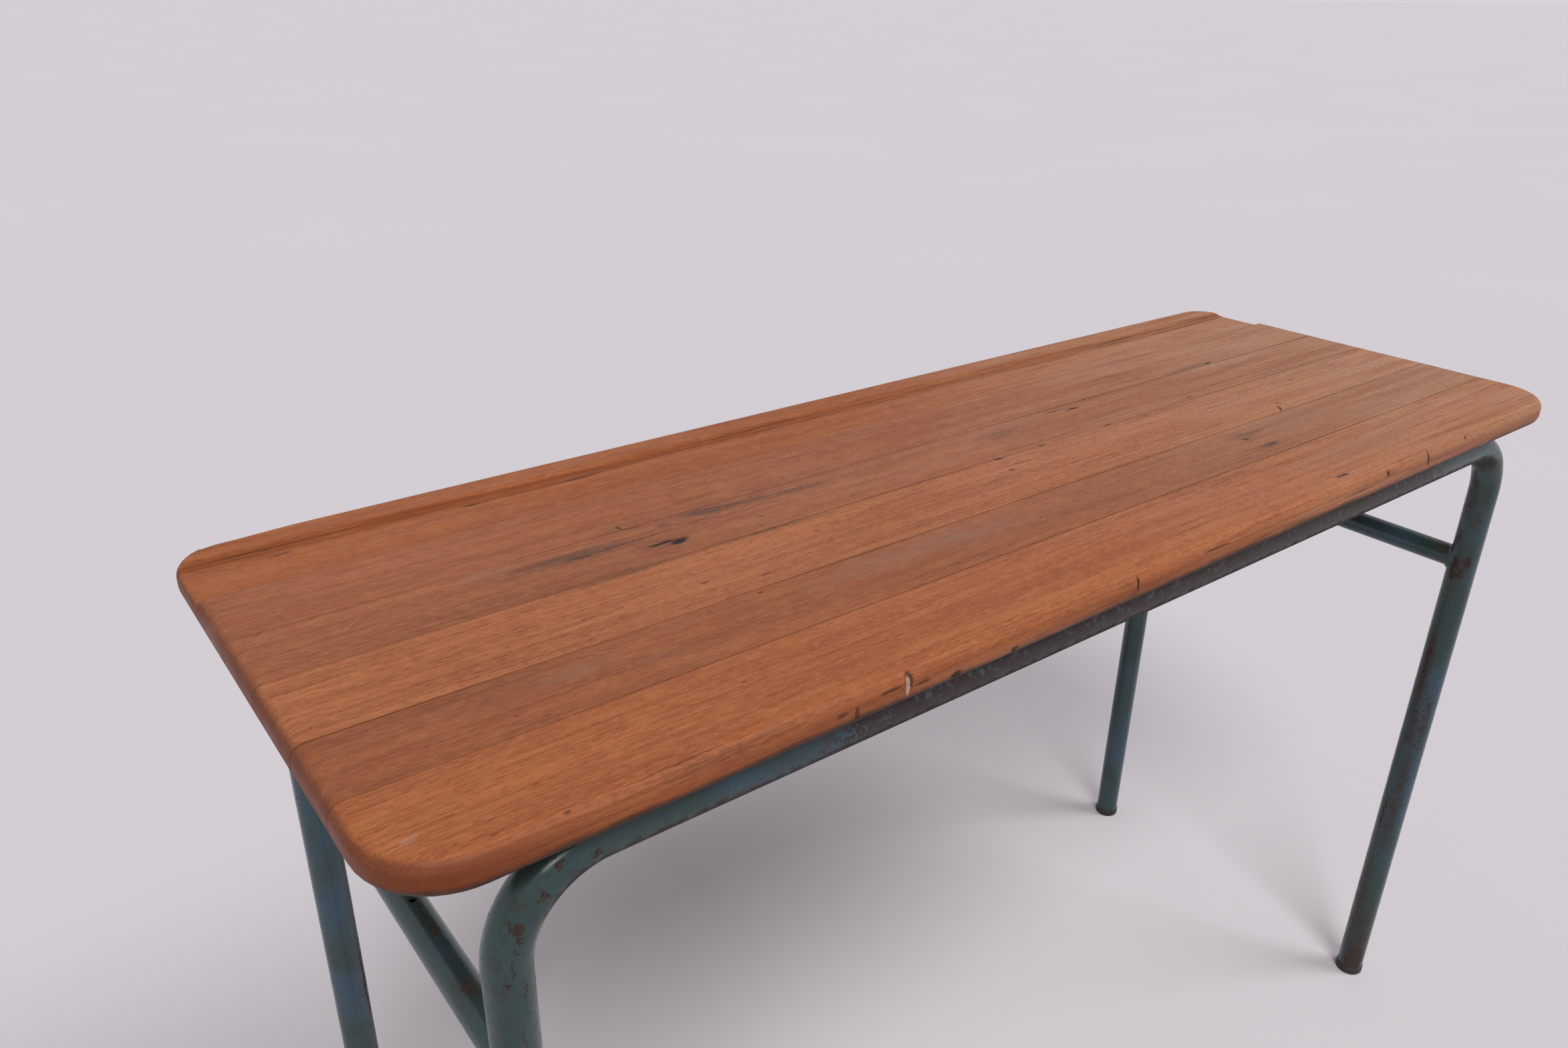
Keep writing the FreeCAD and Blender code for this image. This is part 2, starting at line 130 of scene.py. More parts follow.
def area(name, description, along, across):
    """A length along a board and one across it that a user may change, in metres."""
    return FloatVectorProperty(name=name, description=description, default=(along * MM, across * MM),
                               size=2, min=0.0, unit="LENGTH", subtype="XYZ", precision=5)


def colour(name, description, code):
    """A colour that a user may change, given as an sRGB hex code."""
    return FloatVectorProperty(name=name, description=description, default=linear(code), size=4,
                               min=0.0, max=1.0, subtype="COLOR")


def angle(name, description, degrees):
    """An angle that a user may change."""
    return FloatProperty(name=name, description=description, default=math.radians(degrees), subtype="ANGLE")


def strength(name, description, value):
    """The strength of a light, which a user may change."""
    return FloatProperty(name=name, description=description, default=value, min=0.0)


class DeskTopLook(bpy.types.PropertyGroup):
    """Sizes and colours of the oak top."""

    lattice_step: area("Mesh step", "Spacing of the mesh along and across a board", 16, 7)
    mark_step: length("Mesh step at a mark", "Spacing of the mesh inside a dent", 1.6)
    lobe_pitch: length("Lobe pitch", "Distance between the lobes in a dent's outline", 1.5)
    seam_ease: length("Seam ease", "How far each board's edge is worn away along a seam", 0.2)
    surface_wear: length("Surface wear", "How deep the top is worn into shallow hollows", 0.35)
    wear_pitch: length("Wear pitch", "Distance between the hollows worn into the top", 90)
    wear_reach: length("Wear reach", "How far below the top the hollows are felt", 6)
    end_wear: length("End wear", "How far the rear edge is worn back at its left end", 3)
    end_wear_reach: length("End wear reach", "Width of the strip that is worn back", 12)
    streak_size: area("Streaks", "Length and width of the broad light and dark streaks", 300, 12)
    grain_size: area("Grain", "Length and width of the grain lines", 140, 2.4)
    grain_depth: length("Grain depth", "How deep the grain lines and pores lie", 0.15)
    fibre_size: area("Fibres", "Length and width of the finest lines", 7.5, 1.1)
    wander: length("Wander", "How far a fibre strays from a straight line", 5)
    wander_size: area("Wander size", "Length and width of wood that strays together", 350, 90)
    pore_size: area("Pores", "Length and width of an open pore, drawn twice as wide as a real one", 6, 0.7)
    mottle_size: area("Mottle", "Length and width of the honey and red-brown patches", 22, 10)
    # the grey patches are partly worn wood and partly painted sheen
    haze_size: area("Haze", "Length and width of the worn grey patches", 240, 60)
    speck_size: area("Specks", "Length and width of the dark specks in a grey patch", 3, 1.6)
    ring_pitch: length("Ring pitch", "Distance between the growth rings on a board's end", 3)
    heart_drop: length("Heart depth", "How far the tree's heart lay below the board", 60)
    tear_size: area("Tears", "Length and width of the breaks in a mark's outline", 6, 2.5)
    tear_reach: area("Tear reach", "How far a large mark's outline is torn", 8, 3.2)
    small_tear_reach: area("Small tear reach", "How far a small mark's outline is torn", 3, 1.2)
    cove_inset: length("Cove inset", "Middle of the tray's cove, from the rear edge", 37)
    honey_colour: colour("Honey", "Where the finish has yellowed", "B27043")
    russet_colour: colour("Russet", "Where the finish has reddened", "984F31")
    pore_colour: colour("Pores", "Dirt in the open pores", "653A24")
    # haze: worn grey wood, partly painted sheen
    haze_and_sheen_colour: colour("Haze", "Wood worn through its finish and greyed", "906A5A")
    smudge_colour: colour("Smudges", "Ink and iron stains", "4E3A30")
    knot_colour: colour("Knots", "Black heart of a knot", "231914")
    # crack colour: dirt in cracks, and also the dirt and painted shade of the dark lines in the tray's cove
    crack_and_cove_shade_colour: colour("Cracks", "Dirt in a crack or notch", "3A2318")
    pale_colour: colour("Chips", "Bare wood in a fresh chip", "B59685")
    seam_colour: colour("Seams", "Dirt and glue in a seam", "56290F")
    scratch_colour: colour("Scratches", "Finish scratched to paler wood", "B9825F")
    # edge dirt: dirt and painted shade on the downward-facing lower edge of the rim
    edge_dirt_and_shade_colour: colour("Edge dirt", "Dirt along the lower edge of the rim", "3B2416")
    # bleached: wood scrubbed pale, and painted sheen towards the right end
    bleached_and_sheen_colour: colour("Bleached", "Wood scrubbed pale", "B08869")
    rim_colour: colour("Rim", "Handled edge, darkened by hands", "6E3B26")
    varnish_colour: colour("Old varnish", "Varnish left where nothing rubs", "753A1B")
    underside_colour: colour("Underside", "Unfinished wood below", "8D6547")


class DeskFrameLook(bpy.types.PropertyGroup):
    """Sizes and colours of the tube frame."""

    wall: length("Tube wall", "Wall of the leg tubes", 1.5)
    bend_radius: length("Bend radius", "Radius of the leg bends, at the middle of the tube", 65)
    tube_sides: IntProperty(name="Tube sides", description="Sides of a leg tube", default=72, min=12)
    bend_steps: IntProperty(name="Bend steps", description="Steps round a bend", default=18, min=4)
    run_step: length("Run step", "Spacing of the rings along a straight tube", 30)
    tube_unevenness: length("Unevenness", "How far the tube wall strays from round", 0.12)
    uneven_pitch: length("Uneven pitch", "Distance between the dips in a tube wall", 45)
    bead_step: length("Mesh step on a weld", "Spacing of the mesh on a weld", 1.3)
    bead_height: length("Ripple height", "Height of the ripples of a weld", 0.4)
    bead_pitch: length("Bead pitch", "Distance between the ripples of a weld", 2.6)
    spatter_pitch: length("Spatter pitch", "Distance between the lumps on a weld", 3)
    edge_ease: length("Edge ease", "Rounding of the pressed and moulded edges", 0.6)
    enamel_colour: colour("Enamel", "Blue-green enamel", "284143")
    enamel_green: colour("Faded enamel", "Enamel where it has turned greener", "223936")
    enamel_blue: colour("Clean enamel", "Enamel where it has stayed bluer", "2D4757")
    rubbed_colour: colour("Undercoat", "Grey undercoat left where the enamel is rubbed away", "545E60")
    steel_colour: colour("Bare steel", "Steel browned by handling", "352828")
    # grime: settled dirt, and painted shade on the underside of the rubbed rail
    grime_and_shade_colour: colour("Grime", "Settled dirt on the underside of the rail", "201713")
    rust_colour: colour("Rust", "Dark settled rust", "1A110B")
    rust_bright: colour("Fresh rust", "Brown rust in a patch", "3C2414")
    stain_colour: colour("Stain", "Film of rust and dirt washed down the enamel", "2A2119")
    plug_colour: colour("Plug", "Dark scuffed moulding", "2A231F")
    screw_colour: colour("Screw", "Dull plated steel", "8C8882")
    chip_size: length("Chip size", "Size of the small enamel chips", 5)
    chip_depth: length("Chip depth", "How deep a chip lies in the enamel", 0.12)
    patch_size: length("Patch size", "Size of the cloudy changes in the enamel", 60)
    scuff_size: length("Scuff size", "Size of the fine mottling of the enamel", 3)
    lace_size: length("Lace size", "Size of the holes in a broken patch of rust", 2.2)
    plug_scuff_size: length("Plug scuff size", "Size of the scuffs on a plug", 6)
    plug_grain_size: length("Plug grain size", "Size of the moulded grain of a plug", 1)
    plug_grain_depth: length("Plug grain depth", "Depth of the moulded grain of a plug", 0.1)
    spot_size: length("Spot size", "Size of the brown spots on a screw", 2)
    dull_size: length("Dull size", "Size of the dull patches on a screw", 5)


class DeskStageLook(bpy.types.PropertyGroup):
    """Camera, light and floor."""

    camera_place: FloatVectorProperty(name="Camera place", description="Where the camera stands", size=3,
                                      default=(-0.7639, -0.6910, 1.2044), subtype="TRANSLATION")
    camera_azimuth: angle("Azimuth", "Turn from the back of the desk to its right", 37.48)
    camera_elevation: angle("Elevation", "Tilt above the level", -24.805)
    camera_roll: angle("Roll", "Turn about the line of sight", 0.815)
    lens: FloatProperty(name="Lens", description="Focal length on a 36 mm wide sensor", default=27.107,
                        unit="CAMERA")
    floor_radius: length("Floor radius", "Radius of the floor", 200000)
    cloud_size: length("Cloud size", "Size of the faint clouds in the floor", 1500)
    floor_colour: colour("Floor", "Pale matt floor", "D9D3D9")
    left_light: strength("Left light", "Strength of the soft light on the left", 1.5)
    right_light: strength("Right light", "Strength of the soft light on the right", 1.1)
    softness: angle("Softness", "How wide each light looks from the desk", 24)
    sky_strength: strength("Sky", "Strength of the even light from all round", 0.3)


def connect(tree, value, socket):
    """Give a socket a value, or link it to a socket or to a node's first result."""
    if isinstance(value, bpy.types.Node):
        value = next(s for s in value.outputs if s.enabled)
    if isinstance(value, bpy.types.NodeSocket):
        tree.links.new(value, socket)
    else:
        socket.default_value = value


def add(tree, kind, *inputs, **settings):
    """Add a shader node with its settings and, in order, its inputs. None leaves an input alone."""
    node = tree.nodes.new("ShaderNode" + kind)
    for name, value in settings.items():
        setattr(node, name, value)
    for socket, value in zip([s for s in node.inputs if s.enabled], inputs):
        if value is not None:
            connect(tree, value, socket)
    return node


def product(tree, *shares):
    """The product of shares, each a number, a node or a smooth step.

    A step is (value, low, high, start, end): it goes from start, where the value is low, to end,
    where it is high, and from zero to one where start and end are left out.
    """
    result = None
    for share in shares:
        if isinstance(share, tuple):
            share = add(tree, "MapRange", *share, interpolation_type="SMOOTHSTEP")
        result = share if result is None else add(tree, "Math", result, share, operation="MULTIPLY")
    return result


def total(tree, *terms):
    """The sum of terms, each a number, a node or a (value, weight) pair."""
    result = None
    for term in terms:
        if isinstance(term, tuple):
            term = product(tree, *term)
        result = term if result is None else add(tree, "Math", result, term, operation="ADD")
    return result


def coats(tree, base, *layers):
    """A base with colours laid over it in turn, each given as (colour, share, share, ...)."""
    for tint, *shares in layers:
        base = add(tree, "Mix", product(tree, *shares), base, tint, data_type="RGBA")
    return base


def new_material(name):
    """A material of that name, with its node tree, its shader and its Object coordinates."""
    material = bpy.data.materials.new(name)
    material.use_nodes = True
    tree = material.node_tree
    return material, tree, tree.nodes["Principled BSDF"], add(tree, "TexCoord").outputs["Object"]


def finish_surface(tree, shader, tint, roughness, bumps=None):
    """Give a shader its colour, its roughness and its bumps, as (strength, depth, None, relief)."""
    connect(tree, tint, shader.inputs["Base Color"])
    connect(tree, roughness, shader.inputs["Roughness"])
    if bumps:
        connect(tree, add(tree, "Bump", *bumps), shader.inputs["Normal"])


def patterns(tree, place, table, seed):
    """Noises that follow the object, one for each (length, width, detail) or (size, detail)."""
    found = {}
    for index, (name, (*sizes, detail)) in enumerate(table.items()):
        mapped = add(tree, "Mapping", place, (seed + index, seed * 2 + index, seed), None,
                     (1 / sizes[0], 1 / sizes[-1], 1 / sizes[-1]))
        found[name] = add(tree, "TexNoise", mapped, 1.0, detail, 0.6)
    return found


def torn_places(tree, place, size, seed, *reaches):
    """The place shifted to and fro by noise, once for each reach, so that outlines look torn."""
    noisy = patterns(tree, place, {"tear": (*size, 3.0)}, seed)["tear"]
    shift = add(tree, "VectorMath", noisy.outputs["Color"], (0.5, 0.5, 0.5), operation="SUBTRACT")
    return [add(tree, "VectorMath", shift, reach, place, operation="MULTIPLY_ADD") for reach in reaches]


def mask(tree, place, spots, soft):
    """How much a point lies within any of the spots, from zero outside to their share."""
    result = 0.0
    for spot in spots:
        mapped = add(tree, "Mapping", place, spot.middle, (0.0, 0.0, math.radians(spot.turn)), spot.half,
                     vector_type="TEXTURE")
        away = add(tree, "VectorMath", mapped, operation="LENGTH")
        inside = product(tree, (away, soft, 1.0, spot.share, 0.0))
        result = add(tree, "Math", result, inside, operation="MAXIMUM")
    return result


# A board: its node, its piece, its lightest and darkest wood, the seed of its pattern, and how
# strongly its grain lines, its pores and its greyed patches, partly painted sheen, show.
Board = namedtuple("Board", "node name light dark seed grain pores haze")
BOARDS = (
    Board("top_board_1_front", "front_board", "BA7144", "945233", 3.1, 0.8, 0.6, 0.1),
    Board("top_board_2", "second_board", "A6643E", "804830", 7.7, 0.7, 0.4, 0.3),
    Board("top_board_3", "third_board", "BA764E", "965635", 1.9, 0.8, 1.0, 0.1),
    Board("top_board_4", "fourth_board", "AE6C48", "864E32", 5.3, 0.9, 0.6, 0.3),
    Board("top_board_5", "fifth_board", "AC6844", "864C31", 9.4, 0.85, 0.6, 0.25),
    Board("top_board_6_tray_rail", "tray_board", "AE673A", "894A2B", 12.6, 0.8, 0.5, 0.1),
)

# How much dirt shows in each seam at the right and at the left end of the desk, from the front
# edge, which has none, to the rear one.
SEAM_DIRT = ((0.0, 0.0), (0.85, 0.6), (0.85, 0.7), (0.8, 0.35), (0.9, 0.3), (0.7, 0.15), (0.0, 0.0))

# The dark lines of dirt and painted shade along the tray's cove: how far behind its middle, half their width,
# both in millimetres, and how strongly they show.
COVE_DIRT_AND_SHADE_LINES = ((-5, 2.2, 0.85), (1, 1.4, 0.6))


class Mark(namedtuple("Mark", "kind x y long wide turn deep share down tall", defaults=(0, 60))):
    """A mark on the top.

    It has its kind, its middle, its length, width and turn in degrees, how deep it is pressed in
    and how strongly it shows. A mark on the rim also has how far its middle lies below the top and
    how tall it is. All lengths are in millimetres.
    """

    @property
    def middle(self):
        """Its middle in the frame."""
        return Vector((self.x * MM, self.y * MM, CAD_TOP - self.down * MM))

    @property
    def half(self):
        """Half its length, width and height."""
        return Vector((self.long / 2 * MM, self.wide / 2 * MM, self.tall / 2 * MM))


# A mark past this length or width, in millimetres, is torn as a large one.
LARGE_MARK = 14
# A mark whose middle is this near a board, in millimetres, may reach it.
MARK_REACH = 12

MARKS = [Mark(*row) for row in (
    # the black knot and the stains round it
    ("knot", -323, 18, 25, 12, 12, 0.7, 1.0),
    ("knot", -336, 22, 36, 5, 3, 0.3, 0.95),
    ("knot", -335, 15, 20, 2.4, 12, 0, 0.8),
    ("smudge", -342, 22, 80, 18, 3, 0, 0.65),
    ("smudge", -402, 40, 160, 26, -2, 0, 0.9),
    ("crack", -356, 38, 100, 2.4, 2, 0, 0.7),
    ("crack", -400, 37, 26, 6, -10, 0, 0.6),
    ("crack", -350, 65, 3, 12, 10, 0.3, 0.85),
    ("crack", -342, 60, 22, 2.6, -6, 0, 0.75),
    ("smudge", -345, 68, 80, 16, 0, 0, 0.5),
    ("smudge", -318, 50, 20, 10, 0, 0, 0.85),
    ("smudge", -275, 53, 74, 20, -6, 0, 1.0),
    ("crack", -262, 54, 36, 2.4, -6, 0, 0.65),
    ("smudge", -235, 50, 100, 17, -5, 0, 0.9),
    ("smudge", -187, 46, 120, 13, -5, 0, 0.85),
    ("crack", -264, 82, 56, 2.2, -4, 0, 0.6),
    ("crack", -287, 41, 40, 2.4, -8, 0, 0.55),
    ("smudge", -295, 11, 14, 8, 10, 0, 0.5),
    ("smudge", -250, -7, 200, 9, -2, 0, 0.65),
    ("smudge", -390, -6, 200, 14, -1, 0, 0.6),
    ("smudge", -530, -95, 120, 44, 0, 0, 0.3),
    ("crack", -302, -67, 20, 1.8, -3, 0, 0.75),
    ("dent", -244, 19, 12, 4, -8, 0.3, 0.7),
    ("dent", -255, 3, 6, 3, 0, 0.3, 0.7),
    ("dent", -346, -52, 11, 3.5, 1, 0.3, 0.9),
    ("dent", -322, -88, 6, 3.5, 0, 0.4, 1.0),
    ("dent", -224, -30, 7, 3.5, -20, 0.3, 0.8),
    # smaller knots, cracks and dents
    ("crack", 156, 54, 40, 3, -5, 0, 0.7),
    ("knot", 177, 49, 22, 5, -4, 0.3, 1.0),
    ("smudge", 56, 40, 110, 30, 3, 0, 0.55),
    ("smudge", 49, 35, 44, 13, 8, 0, 0.7),
    ("knot", 10, -6, 16, 4.5, 0, 0.3, 1.0),
    ("knot", 68, -6, 16, 4.5, 0, 0, 0.8),
    ("crack", 166, -5, 16, 3.5, 0, 0, 0.85),
    ("dent", 0, -31, 10, 5.5, -5, 0.5, 1.0),
    ("crack", 20, -24, 66, 2, -3, 0, 0.65),
    ("smudge", 218, -9, 34, 6, -6, 0, 0.75),
    ("dent", 211, -52, 5, 3.5, 0, 0.3, 0.8),
    ("crack", 356, -76, 22, 3.4, 50, 0.5, 1.0),
    ("crack", 369, -66, 14, 3, -75, 0.4, 0.8),
    ("knot", 245, -109, 17, 5, -10, 0.3, 0.85),
    ("smudge", 252, -102, 80, 26, -8, 0, 0.5),
    ("smudge", 250, -131, 48, 11, -2, 0, 0.9),
    ("knot", 256, -130, 22, 3.6, -2, 0, 0.75),
    ("crack", 308, 1, 16, 3.4, -6, 0, 0.8),
    ("crack", 366, 11, 10, 3.4, -4, 0, 0.8),
    ("crack", 456, -27, 16, 3.4, -8, 0, 0.8),
    ("crack", 125, -160, 100, 1.8, 4, 0, 0.5),
    ("knot", 431, 64, 20, 5, 5, 0.3, 1.0),
    ("smudge", 400, 66, 130, 15, 2, 0, 0.65),
    ("dent", -154, 8, 7, 3, 10, 0.3, 0.7),
    ("dent", -58, -117, 5, 4, 0, 0.5, 0.8),
    ("dent", -531, -129, 6, 3, 0, 0.3, 0.6),
    ("dent", -516, -139, 8, 3, -20, 0.3, 0.6),
    ("dent", -400, -178, 6, 4, 0, 0.3, 0.6),
    ("dent", -628, 59, 8, 4, 20, 0.3, 0.5),
    ("crack", 235, -214, 26, 4, -2, 0.4, 0.95),
    ("crack", -548, -225, 7, 1.8, 0, 0.3, 0.65),
    ("crack", -587, -220, 6, 2.6, 0, 0.3, 0.45),
    ("crack", -606, -216, 5, 3, 0, 0, 0.3),
    ("crack", -642, -221, 9, 3, 45, 0.3, 0.6),
    ("pale", -624, -199, 14, 7, 20, 0, 0.25),
    # chips, notches and split fibres along the front edge
    ("crack", -307, -229, 9, 14, 0, 0.5, 0.75, 8, 19),
    ("pale", -308, -230, 4.5, 12, 0, 0.6, 0.9, 11, 18),
    ("crack", -323, -230, 24, 6, 0, 0.3, 0.8, 9, 3),
    ("crack", -295, -230, 20, 6, 0, 0.3, 0.7, 13, 3),
    ("crack", -264, -229, 12, 10, 0, 1.2, 1.0, 19, 9),
    ("crack", -208, -229, 9, 10, 0, 1.0, 0.9, 19, 7),
    ("smudge", -202, -229, 34, 10, 0, 0, 0.5, 7, 9),
    ("crack", -363, -230, 12, 6, 0, 0.3, 0.6, 12, 5),
    ("crack", -351, -230, 5, 8, 0, 0.4, 0.7, 15, 13),
    ("crack", -75, -229, 3, 10, 0, 0.8, 0.95, 9, 16),
    ("smudge", -88, -229, 24, 8, 0, 0, 0.5, 6, 6),
    ("crack", 24, -229, 40, 6, 0, 0.3, 0.75, 7, 2.5),
    ("crack", 364, -228, 3.5, 12, 0, 1.4, 1.0, 9, 20),
    ("crack", 289, -229, 6, 8, 0, 0.8, 0.8, 7, 9),
    ("smudge", 296, -229, 20, 8, 0, 0, 0.4, 7, 8),
    ("smudge", 318, -225, 20, 8, 10, 0, 0.45, 2, 12),
    ("crack", 438, -228, 5, 5, 0, 0.5, 0.8, 4, 5),
    ("smudge", -465, -228, 190, 9, 0, 0, 0.6, 6, 10),
    ("crack", -478, -224, 80, 2.4, 1, 0, 0.45),
    ("smudge", -120, -229, 260, 8, 0, 0, 0.4, 16, 8),
    # the finish rubbed through along the front rim
    ("worn", 210, -229, 560, 12, 0, 0, 0.55, 13, 12),
    ("worn", -250, -229, 160, 12, 0, 0, 0.35, 14, 8),
    ("crack", 150, -229, 90, 6, 0, 0, 0.6, 16, 2.5),
    ("crack", 240, -229, 60, 6, 0, 0, 0.6, 12, 2),
    ("crack", 90, -229, 40, 6, 0, 0, 0.6, 15, 2),
    ("crack", -390, -229, 60, 6, 0, 0, 0.5, 17, 2.5),
    # worn grey patches, where books lay, partly painted sheen
    ("haze", -150, -102, 420, 56, -2, 0, 0.65),
    ("haze", -480, -106, 90, 26, 0, 0, 0.45),
    ("haze", -431, -122, 60, 20, 0, 0, 0.4),
    ("haze", -468, 52, 90, 22, 0, 0, 0.7),
    ("haze", -171, 57, 110, 20, 0, 0, 0.7),
    ("haze", -343, -53, 90, 20, 0, 0, 0.6),
    ("haze", 74, 50, 200, 26, 0, 0, 0.7),
    ("haze", -80, 20, 260, 30, 0, 0, 0.4),
    ("haze", 330, -180, 330, 50, 0, 0, 0.5),
    ("haze", 330, -105, 260, 50, 0, 0, 0.5),
    # pale scratches across the grain
    ("scratch", -572, 37, 30, 1.6, 34, 0, 0.45),
    ("scratch", -610, 20, 16, 1.6, 54, 0, 0.4),
    ("scratch", -521, 104, 52, 1.5, -5, 0, 0.4),
    ("scratch", -478, 62, 60, 1.6, -13, 0, 0.4),
    ("scratch", -490, 50, 44, 1.4, -9, 0, 0.35),
    ("scratch", -276, -205, 30, 1.8, -121, 0, 0.3),
    ("scratch", -60, -160, 70, 1.5, 28, 0, 0.25),
    ("scratch", 150, -90, 60, 1.5, -24, 0, 0.25),
    # the left end of the tray's cove
    ("knot", -578, 183, 26, 5, 3, 0.3, 0.5),
    ("knot", -422, 185, 18, 5, 3, 0.3, 0.5),
    ("dent", -611, 175, 8, 4, 0, 0.3, 0.5),
    ("dent", -282, 97, 8, 4, 0, 0.2, 0.4),
)]


def grain_patterns(tree, look, board, place):
    """The patterns in a board's wood, and the streaks, lines and pores that they make."""
    wander = patterns(tree, place, {"wander": (*look.wander_size, 1.0)}, board.seed)["wander"]
    fibres = add(tree, "VectorMath", wander.outputs["Color"], (0.0, look.wander, look.wander), place,
                 operation="MULTIPLY_ADD")
    grain = patterns(tree, fibres, {
        "streak": (*look.streak_size, 4.0),
        "line": (*look.grain_size, 3.0),
        "fibre": (*look.fibre_size, 3.0),
        "pore": (*look.pore_size, 1.0),
        "mottle": (*look.mottle_size, 3.0),
        "haze": (*look.haze_size, 4.0),
        "tone": (look.streak_size[0] * 2, look.haze_size[1], 1.0),
    }, board.seed)
    grain["streaks"] = total(tree, (grain["streak"], 0.7), (grain["tone"], 0.3))
    grain["lines"] = product(tree, (grain["line"], 0.53, 0.70), board.grain)
    grain["pores"] = product(tree, (grain["pore"], 0.57, 0.72), (grain["line"], 0.46, 0.62, 0.2, 1.0),
                             board.pores)
    return grain


def growth_rings(tree, look, board, place):
    """Rings about the tree's heart, which lay below the board."""
    low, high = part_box(board.node)
    sideways = -(low.y + high.y) / 2 - board.seed * look.ring_pitch
    heart = add(tree, "Mapping", place, (0.0, sideways, look.heart_drop - low.z))
    # at a scale of one the rings lie a tenth of pi apart
    return add(tree, "TexWave", heart, math.pi / 10 / look.ring_pitch, 2.5, 2.0,
               wave_type="RINGS", rings_direction="X").outputs["Fac"]


def tray_dirt_and_shade(tree, look, grain, across, rear):
    """The coats of old varnish, and the dark lines of dirt and painted shade, along the tray's cove."""
    uneven = total(tree, across, (total(tree, grain["streak"], -0.5), COVE_STRAY))

    def away(offset):
        """How far a point lies from a line along the cove."""
        from_line = add(tree, "Math", uneven, rear - look.cove_inset + offset * MM, operation="SUBTRACT")
        return add(tree, "Math", from_line, operation="ABSOLUTE")

    yield (look.varnish_colour, (away(0), *COVE_FADE, 0.9, 0.0),
           (grain["line"], 0.3, 0.6, 0.6, 1.0), (grain["haze"], 0.35, 0.60, 1.0, 0.45))
    # painted shade with dirt: dark lines along the cove
    for offset, half, share in COVE_DIRT_AND_SHADE_LINES:
        yield (look.crack_and_cove_shade_colour, (away(offset), LINE_FADE_FROM, half * MM, share, 0.0),
               (grain["haze"], 0.42, 0.58), (grain["line"], 0.35, 0.55))


